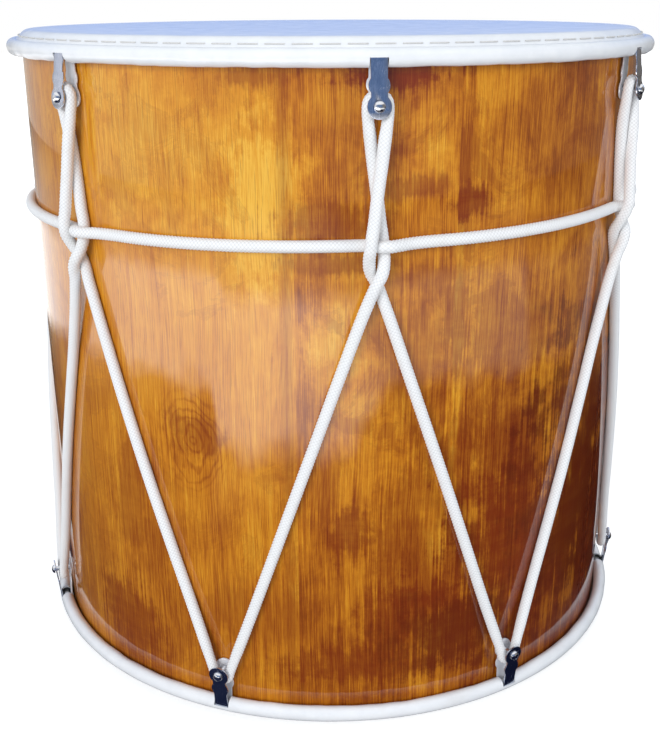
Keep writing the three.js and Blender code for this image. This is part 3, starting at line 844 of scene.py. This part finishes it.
# %% Finish the heads
skin, tree, surface, place = new_finish("white_skin")
dirt = put(tree, "Group", {"Place": place, "Size": 90.0}, node_tree=soil).outputs
white = ramp(tree, dirt["Mottle"], [(0.3, (0.80, 0.81, 0.83)), (0.7, (0.87, 0.875, 0.885))])
white = mixed(tree, sums(tree, "MULTIPLY", dirt["Smudge"], 0.18), white, (0.66, 0.63, 0.58, 1))
gloss = between(tree, dirt["Mottle"], 0.2, 0.8, 0.18, 0.24)
dress(tree, surface, white, gloss, bump(tree, noise(tree, place, 1500.0), 0.00002, 0.4))
for head, node in ((upper_head, "upper_head"), (lower_head, "lower_head")):
    smooth(head, 35)
    finish_piece(head, skin, "head_skin", node)
    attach(head, "drum")
print("heads finished")

# %% [markdown]
# ## The seam of each hem
#
# Long stitches close the hem in the crease above the ring. One stitch is a thin bar whose ends are
# bevelled round. Spin can also copy instead of sweep, so one call sets the whole row round the drum.

# %% Sew the hems
STITCHES = 92
STITCH_LENGTH = 8.6
THREAD = 0.36
SEAM_RADIUS = 165.85
SEAM_DROP = 2.85

thread, tree, surface, place = new_finish("seam_thread")
twist = noise(tree, place, 2600.0)
tone = ramp(tree, twist, [(0.3, (0.58, 0.565, 0.545)), (0.7, (0.74, 0.725, 0.70))])
rough = between(tree, twist, 0.2, 0.8, 0.6, 0.9)
dress(tree, surface, tone, rough, bump(tree, twist, 0.00008, 0.6))


def sew(name, z):
    clear_selection()
    bpy.ops.mesh.primitive_cylinder_add(
        vertices=6, radius=THREAD * MM, depth=STITCH_LENGTH * MM,
        location=(0, -SEAM_RADIUS * MM, z * MM), rotation=(0, math.pi / 2, 0),
    )
    row = christen(name)
    bpy.ops.object.mode_set(mode="EDIT")
    pick(row, "FACE", lambda middle: abs(middle.x) > 0.49 * STITCH_LENGTH * MM)
    bpy.ops.mesh.bevel(offset=0.7 * THREAD * MM, segments=2)
    bpy.ops.mesh.select_all(action="SELECT")
    copy_round(STITCHES, 2 * math.pi / STITCHES)
    bpy.ops.object.mode_set(mode="OBJECT")
    smooth(row, 50)
    finish_piece(row, thread, "head_skin")
    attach(row, "drum")
    return row


rows = [sew("upper_stitches", DRUM_HEIGHT - SEAM_DROP), sew("lower_stitches", SEAM_DROP)]
print("stitches:", STITCHES, "in each row,", [len(r.data.polygons) for r in rows], "faces")

# %% [markdown]
# ## Steel: scratches that rings and clips share
#
# Bright strip steel carries fine lines from the rolls and soft finger marks. A group gives both, and the
# clips and rings take them with their own colour and gloss. A clip's rear leg sees only the shell and the
# cord, and is painted pale and less metallic as painted light, so a finish can take a second colour for
# what lies behind the ring.

# %% Build the scratch group
marks, given = new_group(
    "rolling lines and finger marks",
    [("Place", "Vector"), ("Fineness", "Float")],
    [("Lines", "Float"), ("Marks", "Float")],
)
scaled = vectors(marks, "MULTIPLY", given["Place"], given["Fineness"])
rolled = noise(marks, scaled, (1.0, 1.0, 0.03), 2.0, 0.6)
finger = noise(marks, scaled, 0.08, 3.0, 0.6, 0.5)
close_group(marks, Lines=rolled, Marks=finger)
print("group:", marks.name)

# %% Finish the steel
# Painted light for the clip's rear leg: a pale colour and a low metallic behind the ring.
PAINTED_REAR_LIGHT, PAINTED_REAR_METALLIC = (0.84, 0.86, 0.9, 1), 0.3
REAR_TO_FRONT = ((CLIP_RADIUS - 1) * MM, (CLIP_RADIUS + 1) * MM)


def steel_finish(name, dull, bright, gloss, rough, painted_pale_rear=False):
    finish, tree, surface, place = new_finish(name)
    wear = put(tree, "Group", {"Place": place, "Fineness": 2600.0}, node_tree=marks).outputs
    both = sums(tree, "MULTIPLY", sums(tree, "ADD", wear["Lines"], wear["Marks"]), 0.5)
    colour = ramp(tree, both, [(0.35, dull), (0.62, bright)])
    # Painted light: the rear leg behind the ring gets a pale colour and less metal, not a different steel.
    if painted_pale_rear:
        radius = vectors(tree, "LENGTH", vectors(tree, "MULTIPLY", place, (1.0, 1.0, 0.0)))
        front = between(tree, radius, *REAR_TO_FRONT)
        colour = mixed(tree, front, PAINTED_REAR_LIGHT, colour)
        tree.links.new(between(tree, front, 0.0, 1.0, PAINTED_REAR_METALLIC, 1.0), surface.inputs["Metallic"])
    shine = between(tree, both, 0.3, 0.7, gloss, rough)
    dress(tree, surface, colour, shine, bump(tree, wear["Lines"], 0.00002, 0.4), (("Metallic", 1.0),))
    return finish


clip_steel = steel_finish("clip_steel", (0.54, 0.58, 0.68), (0.70, 0.74, 0.84), 0.14, 0.28, True)
stud_steel = steel_finish("stud_steel", (0.74, 0.76, 0.80), (0.88, 0.89, 0.91), 0.10, 0.22)
ring_steel = steel_finish("ring_wire", (0.36, 0.36, 0.37), (0.5, 0.5, 0.5), 0.25, 0.42)
for name in ("upper_ring", "lower_ring"):
    coat(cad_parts[name], ring_steel)
print("steel finishes ready")

# %% [markdown]
# ## The clips
#
# A clip is a steel strap folded over the ring: the rear leg lies by the shell, the front leg leans out to
# make room for the cord. Its side view is traced, extruded to a wide ribbon and made solid. The outline
# of the stamping, a strip with a lobe and an eye, is then cut from it by a boolean intersection. Cutting
# the outline first and folding it would need a bend, which the stamped edges don't survive as well.

# %% Model one clip
STRAP = 0.7
BEND_INNER = 2.25
BEND_MIDDLE = BEND_INNER + STRAP / 2
BEND_OUTER = BEND_INNER + STRAP
RIBBON_WIDTH = 12
LOBE_DIAMETER, LOBE_DROP = 9, 10.7
EYE_DIAMETER = 10.2
EDGE_BREAK = 0.11
TOOL_LENGTH, CUT_SLACK = 60, 1
ROPE_DIAMETER = 5.2
ROPE_PLAY = 1.1
REAR_GAP = 0.5
SHANK_DIAMETER, SHANK_PLAY = 2.6, 0.1
LEG_LENGTH = EYE_DROP + EYE_DIAMETER / 2


def flare_to(x, depth, bend):
    return math.atan2(x, depth) - math.asin(bend / math.hypot(x, depth))


def leg_face(flare, depth, bend):
    return bend / math.cos(flare) + depth * math.tan(flare)


REAR_FLARE = flare_to(RING_IN_FRAME - SHELL_IN_FRAME - REAR_GAP, LEG_LENGTH, BEND_OUTER)
FRONT_REACH = ROPE_DIAMETER + 2 * ROPE_PLAY - leg_face(REAR_FLARE, EYE_DROP, BEND_INNER)
FRONT_FLARE = flare_to(FRONT_REACH, EYE_DROP, BEND_INNER)


def add_rod(name, diameter, drop, sides):
    clear_selection()
    bpy.ops.mesh.primitive_cylinder_add(
        vertices=sides, radius=diameter / 2 * MM, depth=TOOL_LENGTH * MM,
        location=(0, 0, -drop * MM), rotation=(0, math.pi / 2, 0),
    )
    return christen(name)


def model_clip():
    reach = LEG_LENGTH + CUT_SLACK
    bend = arc(0, 0, BEND_MIDDLE, math.degrees(FRONT_FLARE), 180 - math.degrees(REAR_FLARE), 14)
    foot = (leg_face(FRONT_FLARE, reach, BEND_MIDDLE), 0, -reach)
    heel = (-leg_face(REAR_FLARE, reach, BEND_MIDDLE), 0, -reach)
    clip = trace_profile("clip", [(x, -RIBBON_WIDTH / 2, z) for x, _, z in (foot, *bend, heel)])
    bpy.ops.mesh.select_all(action="SELECT")
    bpy.ops.mesh.extrude_edges_move(TRANSFORM_OT_translate={"value": (0, RIBBON_WIDTH * MM, 0)})
    face_outwards()
    apply_modifier(clip, "SOLIDIFY", thickness=STRAP * MM, offset=0.0)

    clear_selection()
    strip_length = EYE_DROP + BEND_OUTER + CUT_SLACK
    bpy.ops.mesh.primitive_cube_add(
        size=MM, location=(0, 0, (strip_length / 2 - EYE_DROP) * MM),
        scale=(TOOL_LENGTH, STRAP_WIDTH, strip_length),
    )
    outline = christen("outline")
    cut(outline, add_rod("lobe", LOBE_DIAMETER, LOBE_DROP, 40), "UNION")
    cut(outline, add_rod("eye", EYE_DIAMETER, EYE_DROP, 44), "UNION")
    cut(outline, add_rod("hole", SHANK_DIAMETER + 2 * SHANK_PLAY, EYE_DROP, 24))
    cut(clip, outline, "INTERSECT")
    apply_modifier(
        clip, "BEVEL", width=EDGE_BREAK * MM, segments=2, limit_method="ANGLE", angle_limit=math.radians(40)
    )
    smooth(clip, 35)
    return clip


clip = model_clip()
flares = [round(math.degrees(flare), 2) for flare in (REAR_FLARE, FRONT_FLARE)]
print("clip:", len(clip.data.polygons), "faces, flares", flares)

# %% [markdown]
# ## The rivets
#
# A domed rivet closes each eye and carries the cord's loop. It grows from one disc by extruding and
# scaling: the shank, the flat underside of the head, its rim, and rings that close up to the dome.

# %% Model one rivet
HEAD_DIAMETER = 5
HEAD_HEIGHT = 1.7
HEAD_GAP = 0.1
DOME_DEGREES = (12, 28, 44, 60, 76)
RIVET_SIDES = 28


def model_rivet():
    shank, head = SHANK_DIAMETER / 2, HEAD_DIAMETER / 2
    tail = -leg_face(REAR_FLARE, EYE_DROP - shank, BEND_OUTER)
    seat = leg_face(FRONT_FLARE, EYE_DROP + head, BEND_OUTER) + HEAD_GAP
    clear_selection()
    bpy.ops.mesh.primitive_circle_add(
        vertices=RIVET_SIDES, radius=shank * MM, fill_type="NGON",
        location=(tail * MM, 0, -EYE_DROP * MM), rotation=(0, math.pi / 2, 0),
    )
    rivet = christen("rivet")
    bpy.ops.object.mode_set(mode="EDIT")
    dome = [(seat + HEAD_HEIGHT * math.sin(t), head * math.cos(t)) for t in np.radians(DOME_DEGREES)]
    x, radius = tail, shank
    for next_x, next_radius in ((seat, shank), (seat, head), *dome):
        bpy.ops.mesh.extrude_region_move(TRANSFORM_OT_translate={"value": ((next_x - x) * MM, 0, 0)})
        share = next_radius / radius
        bpy.ops.transform.resize(value=(1, share, share), center_override=(next_x * MM, 0, -EYE_DROP * MM))
        x, radius = next_x, next_radius
    bpy.ops.mesh.poke(offset=0.0)
    face_outwards()
    smooth(rivet, 50)
    return rivet


rivet = model_rivet()
print("rivet:", len(rivet.data.polygons), "faces")

# %% Hang the clips on the rings
def hang(pattern, finish, name, azimuth, z, flip, body, node):
    copy = pattern.copy()
    copy.data = pattern.data.copy()
    copy.name = copy.data.name = name
    bpy.context.scene.collection.objects.link(copy)
    station = Matrix.Translation((CLIP_RADIUS * MM, 0, z * MM)) @ Matrix.Rotation(flip, 4, "X")
    copy.data.transform(Matrix.Rotation(azimuth - math.pi / 2, 4, "Z") @ station)
    finish_piece(copy, finish, "clip_steel", node)
    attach(copy, body)


ENDS = (("upper", 0, UPPER_RING_Z, 0), ("lower", PITCH / 2, RING_DROP, math.pi))
for k in range(CLIPS):
    for end, shift, z, flip in ENDS:
        place = (FIRST_CLIP + k * PITCH + shift, z, flip, f"{end}_clip_{k + 1}_body")
        hang(clip, clip_steel, f"{end}_strap_{k + 1}", *place, f"{end}_clip_{k + 1}")
        hang(rivet, stud_steel, f"{end}_stud_{k + 1}", *place, f"{end}_rivet_{k + 1}")
for pattern in (clip, rivet):
    bpy.data.objects.remove(pattern)
print("hung", 2 * CLIPS, "clips and as many rivets")

# %% [markdown]
# ## The route of the cords
#
# The lacing is one cord. It starts in a knot at the back, goes under a lower rivet, up over an upper
# rivet and down again, and so on round the drum. Below each upper rivet the two strands wind half round
# each other, open to let the belt through, and close again before they part. The belt goes under one
# strand of a pair and over the other. The points repeat the frame's route, drawn a little closer, because
# real cord is soft and lies against itself and the shell.

# %% Points of the route
CORD_RADIUS = 2.72
ROPE_SEAT = SHELL_RADIUS + CORD_RADIUS
ROPE_SPACING = 5.4
FORWARD = 0.15
SHANK_GAP, COIL_GAP = 0.35, 0.5
FRONT_FACE, REAR_FACE = (leg_face(flare, EYE_DROP, BEND_INNER) for flare in (FRONT_FLARE, REAR_FLARE))
ROPE_AT_RIVET = CLIP_RADIUS + (FRONT_FACE - REAR_FACE) / 2 + FORWARD
LOOP_RADIUS = SHANK_DIAMETER / 2 + SHANK_GAP + ROPE_DIAMETER / 2
COIL_RADIUS = ROPE_DIAMETER + COIL_GAP
KNOT_SEAT = ROPE_SEAT + COIL_RADIUS
KNOT_TURNS, KNOT_STEPS, KNOT_DIVE = 2, 16, 0.6
# Points of a straight run, and the share of it in which the cord comes down to the shell
RUN_POINTS, SETTLE, KNOT_SETTLE = 5, 0.3, 0.8
BELT_HEIGHT, BELT_RISE = 246, 3
CROSSING_DROP = 16
# Share of the way down, turn of the pair, half its spacing and its lift off the shell in cord spacings
TWIST_ABOVE = ((0.3, 40, 0.56, 0.44), (0.59, 90, 0.5, 0.5), (0.82, 118, 0.66, 0.62), (1, 135, 0.84, 0.68))
TWIST_BELOW = ((0.5, 178, 0.6, 0.55), (0.76, 225, 0.55, 0.53), (1, 270, 0.5, 0.5), (1.55, 335, 0.7, 0.34))
# Along the shell and off it, in cord spacings
WEAVE = (
    (-2.6, 0), (-1.4, 0.02), (-0.62, 0.17), (0, 0.62), (0.42, 0.9),
    (0.9, 0.98), (1.6, 0.76), (2.7, 0.28), (4, 0.03),
)


def at(azimuth, radius, z):
    return np.array((radius * math.sin(azimuth), -radius * math.cos(azimuth), z))


def belt_z(azimuth):
    return BELT_HEIGHT + BELT_RISE * math.sin(azimuth)


def strand(azimuth, side):
    belt = belt_z(azimuth)
    rows = [(UPPER_RIVET_Z + part * (belt - UPPER_RIVET_Z), *rest) for part, *rest in TWIST_ABOVE]
    rows += [(belt - part * CROSSING_DROP, *rest) for part, *rest in TWIST_BELOW]
    points = []
    for z, turn, spread, lift in rows:
        along = side * spread * ROPE_SPACING * math.cos(math.radians(turn))
        radius = ROPE_SEAT + ROPE_SPACING * (lift + side * spread * math.sin(math.radians(turn)))
        points.append(at(azimuth + along / radius, radius, z))
    return points


def rivet_loop(azimuth, z, way):
    loop = arc(0, 0, LOOP_RADIUS, 180, 0, 6)
    return [at(azimuth + x / ROPE_AT_RIVET, ROPE_AT_RIVET, z + way * y) for x, _, y in loop]


def taut_run(start, end, start_share=SETTLE, end_share=SETTLE):
    first = math.atan2(start[0], -start[1])
    sweep = (math.atan2(end[0], -end[1]) - first + math.pi) % (2 * math.pi) - math.pi
    points = []
    for k in range(1, RUN_POINTS + 1):
        share = k / (RUN_POINTS + 1)
        off = (math.hypot(*start[:2]) - ROPE_SEAT) * max(0, 1 - share / start_share) ** 2
        off += (math.hypot(*end[:2]) - ROPE_SEAT) * max(0, 1 - (1 - share) / end_share) ** 2
        points.append(at(first + sweep * share, ROPE_SEAT + off, start[2] + (end[2] - start[2]) * share))
    return points


def knot_half(centre, along, outward):
    across = np.cross(along, outward)
    half_gap = coil_pitch = COIL_RADIUS
    points = []
    for k in range(KNOT_STEPS + 1):
        left = KNOT_TURNS * (1 - k / KNOT_STEPS)
        turn = math.pi * (1 - 2 * left)
        wound = COIL_RADIUS * (math.cos(turn) * outward + math.sin(turn) * across)
        points.append(centre - (half_gap + coil_pitch * left) * along + wound)
    points.append(centre - KNOT_DIVE * COIL_RADIUS * outward)
    for turns in (0, KNOT_TURNS / 2, KNOT_TURNS, KNOT_TURNS + 0.5):
        points.append(centre + (half_gap + coil_pitch * turns) * along)
    return points


def along_shell(azimuth):
    return np.array((math.cos(azimuth), math.sin(azimuth), 0))


def lacing_points():
    knot = CLIPS // 2
    upper = [FIRST_CLIP + k * PITCH for k in range(knot, knot + CLIPS + 1)]
    lower = [rivet_loop(a + PITCH / 2, LOWER_RIVET_Z, -1) for a in upper]
    top, foot = strand(upper[0], 1)[-1], lower[0][0]
    azimuth = upper[0] + PITCH / 4
    slant = math.atan2(ROPE_SEAT * PITCH / 2 - LOOP_RADIUS, top[2] - foot[2])
    along = math.sin(slant) * along_shell(azimuth) - math.cos(slant) * np.array((0, 0, 1))
    outward = at(azimuth, 1, 0)
    centre = at(azimuth, KNOT_SEAT, (top[2] + foot[2]) / 2)
    points = knot_half(centre, along, outward)
    for k in range(CLIPS):
        points += taut_run(points[-1], lower[k][0], SETTLE if k else KNOT_SETTLE) + lower[k]
        rising = strand(upper[k + 1], -1)[::-1]
        points += taut_run(points[-1], rising[0]) + rising
        points += rivet_loop(upper[k + 1], UPPER_RIVET_Z, 1) + strand(upper[k + 1], 1)
    ending = knot_half(centre, -along, -outward)[::-1]
    return points + taut_run(points[-1], ending[0], SETTLE, KNOT_SETTLE) + ending


def belt_points():
    half = CLIPS // 2
    azimuth = FIRST_CLIP + (half + 0.5) * PITCH
    along, outward = along_shell(azimuth), at(azimuth, 1, 0)
    centre = at(azimuth, KNOT_SEAT, belt_z(azimuth))
    points = knot_half(centre, along, outward)
    for k in range(CLIPS):
        middle = FIRST_CLIP + (half + 1 + k) * PITCH
        turns = [(middle + a * ROPE_SPACING / ROPE_SEAT, off) for a, off in WEAVE]
        woven = [at(turn, ROPE_SEAT + off * ROPE_SPACING, belt_z(turn)) for turn, off in turns]
        points += taut_run(points[-1], woven[0], SETTLE if k else KNOT_SETTLE) + woven
    ending = knot_half(centre, -along, -outward)[::-1]
    return points + taut_run(points[-1], ending[0], SETTLE, KNOT_SETTLE) + ending


lacing_route, belt_route = lacing_points(), belt_points()
print("route points:", len(lacing_route), "lacing,", len(belt_route), "belt")

# %% [markdown]
# ## Braided cord
#
# A smooth curve goes through the points and is sampled at even steps. Round every sample lies a ring of
# sixteen points, in turn a little out and a little in, and the next ring has them the other way about.
# Cut along its low points, that chequer is a braid: small diamonds between slanting grooves. A plain tube
# with a bump would look the same head on, but its edge would be a ruler line, and a real cord's isn't.
# Each step of two triangles also goes into a UV map that counts diamonds round and along the cord.

# %% Sweep the braid
BRAID_SIDES = 16
BRAID_STEP = 0.86
BRAID_DEPTH = 0.13
# The cord is drawn thinner by this share round a rivet, over a distance and a fade in millimetres
SQUEEZE, SQUEEZE_REACH, SQUEEZE_FADE = 0.09, 13, 6
CURVE_STEPS = 16


def smooth_line(points):
    clear_selection()
    bpy.ops.curve.primitive_bezier_curve_add()
    curve = bpy.context.active_object
    spline = curve.data.splines[0]
    spline.bezier_points.add(len(points) - 2)
    for spot, point in zip(spline.bezier_points, points):
        spot.co = Vector(point)
        spot.handle_left_type = spot.handle_right_type = "AUTO"
    spline.resolution_u = CURVE_STEPS
    bpy.ops.object.convert(target="MESH")
    line = np.array([v.co for v in bpy.context.active_object.data.vertices])
    bpy.data.objects.remove(bpy.context.active_object)
    steps = np.linalg.norm(np.diff(line, axis=0), axis=1)
    travelled = np.concatenate(([0], np.cumsum(steps)))
    even = np.linspace(0, travelled[-1], int(travelled[-1] / BRAID_STEP) + 1)
    return np.stack([np.interp(even, travelled, line[:, axis]) for axis in range(3)], 1), travelled[-1]


def braid_rings(line):
    ahead = np.gradient(line, axis=0)
    ahead /= np.linalg.norm(ahead, axis=1)[:, None]
    side = np.cross(ahead[0], (0.3, 0.5, 0.8))
    turns = np.arange(BRAID_SIDES) * 2 * math.pi / BRAID_SIDES
    from_rivet = np.minimum(abs(line[:, 2] - UPPER_RIVET_Z), abs(line[:, 2] - LOWER_RIVET_Z))
    girth = 1 - SQUEEZE * np.clip((SQUEEZE_REACH - from_rivet) / SQUEEZE_FADE, 0, 1)
    rings = np.empty((len(line), BRAID_SIDES, 3))
    for j, (spot, forward) in enumerate(zip(line, ahead)):
        side = side - forward * (side @ forward)
        side /= np.linalg.norm(side)
        chequer = np.where((np.arange(BRAID_SIDES) + j) % 2, -1, 1)
        radius = girth[j] * CORD_RADIUS + BRAID_DEPTH * chequer
        circle = np.cos(turns)[:, None] * side + np.sin(turns)[:, None] * np.cross(forward, side)
        rings[j] = spot + radius[:, None] * circle
    return rings


def braid_piece(name, stretches):
    points, faces, marks = [], [], []
    for rings, first in stretches:
        base = len(points)
        count = len(rings)
        points += (rings.reshape(-1, 3) * MM).tolist()
        for j in range(count - 1):
            for i in range(BRAID_SIDES):
                here, there = base + j * BRAID_SIDES, base + (j + 1) * BRAID_SIDES
                n = (i + 1) % BRAID_SIDES
                a, b, c, d = here + i, here + n, there + n, there + i
                ua, ub, va, vb = i / 2, (i + 1) / 2, (first + j) / 2, (first + j + 1) / 2
                qa, qb, qc, qd = (ua, va), (ub, va), (ub, vb), (ua, vb)
                if (i + first + j) % 2:
                    faces += [(a, b, c), (a, c, d)]
                    marks += [qa, qb, qc, qa, qc, qd]
                else:
                    faces += [(a, b, d), (b, c, d)]
                    marks += [qa, qb, qd, qb, qc, qd]
        for ring, row, sign in ((0, rings[0], -1), (count - 1, rings[-1], 1)):
            points.append((row.mean(0) * MM).tolist())
            start = base + ring * BRAID_SIDES
            for i in range(BRAID_SIDES):
                pair = (start + i, start + (i + 1) % BRAID_SIDES)
                faces.append((*(pair if sign > 0 else pair[::-1]), len(points) - 1))
                marks += [(0, 0)] * 3
    mesh = bpy.data.meshes.new(name)
    mesh.from_pydata(points, [], faces)
    mesh.uv_layers.new(name="braid").data.foreach_set("uv", np.array(marks, np.float32).ravel())
    piece = bpy.data.objects.new(name, mesh)
    bpy.context.scene.collection.objects.link(piece)
    smooth(piece, 80)
    return piece


lacing_line, lacing_length = smooth_line(lacing_route)
lacing_rings = braid_rings(lacing_line)
above = lacing_line[:, 2] >= BELT_HEIGHT
breaks = [0, *(np.flatnonzero(above[1:] != above[:-1]) + 1), len(lacing_line) - 1]
halves = {True: [], False: []}
for start, stop in zip(breaks, breaks[1:]):
    halves[bool(above[(start + stop) // 2])].append((lacing_rings[start : stop + 1], start))
upper_lacing = braid_piece("lacing_above_belt", halves[True])
lower_lacing = braid_piece("lacing_below_belt", halves[False])

belt_line, belt_length = smooth_line(belt_route)
belt = braid_piece("belt_cord", [(braid_rings(belt_line), 0)])
cords = (upper_lacing, lower_lacing, belt)
print("cord lengths in mm: lacing", round(lacing_length), "belt", round(belt_length))
print("triangles:", [len(c.data.polygons) for c in cords])

# %% [markdown]
# ## White cord
#
# The cord is white and softly matt, and its grooves are painted greyer as painted shade in the braid. The
# UV map counts diamonds, so the grooves are where the sum or the difference of its two numbers lies
# half-way between whole ones. Each diamond is a flat bundle of yarns, which fine lines along its slant
# show.

# %% Finish the cords
YARNS = 4
# Painted shade in the grooves, white on the ridges.
SHADED_GROOVE_TO_RIDGE = ((0.0, (0.71, 0.705, 0.70)), (0.35, (0.87, 0.865, 0.86)), (1.0, (0.915, 0.91, 0.905)))
SOFT = (("Sheen Weight", 0.15), ("Specular IOR Level", 0.25))

cord, tree, surface, place = new_finish("white_braid")
counts = put(tree, "UVMap", uv_map="braid").outputs[0]
apart = put(tree, "SeparateXYZ", {0: counts}).outputs
rising = sums(tree, "ADD", apart[0], apart[1])
falling = sums(tree, "SUBTRACT", apart[0], apart[1])


def groove(value):
    half_way = sums(tree, "ADD", value, 0.5)
    return sums(tree, "ABSOLUTE", waves(tree, half_way, 0.5))


relief = sums(tree, "MULTIPLY", groove(rising), groove(falling))
yarn = waves(tree, rising, YARNS)
dirt = put(tree, "Group", {"Place": place, "Size": 160.0}, node_tree=soil).outputs
fuzz = noise(tree, place, 3200.0)
# Painted shade: the grooves of the braid are greyer than its ridges.
white = ramp(tree, relief, SHADED_GROOVE_TO_RIDGE)
white = mixed(tree, sums(tree, "MULTIPLY", dirt["Smudge"], 0.22), white, (0.62, 0.57, 0.49, 1))
white = mixed(tree, between(tree, fuzz, 0.45, 0.8, 0.0, 0.25), white, (0.93, 0.93, 0.93, 1))
weave = sums(tree, "MULTIPLY_ADD", yarn, 0.12, sums(tree, "MULTIPLY_ADD", fuzz, 0.5, relief))
matt = between(tree, dirt["Mottle"], 0.2, 0.8, 0.72, 0.92)
dress(tree, surface, white, matt, bump(tree, weave, 0.00012, 0.55), SOFT)

finish_piece(upper_lacing, cord, "cord", "lacing")
finish_piece(lower_lacing, cord, "cord", "lacing")
finish_piece(belt, cord, "cord", "belt")
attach(belt, "belt")
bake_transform(upper_lacing)
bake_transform(lower_lacing)
print("cords finished")

# %% [markdown]
# ## Last step
#
# The dressed drum has to stay in the frame's box. This last cell only clears the selection.

# %% Clear the selection
clear_selection()
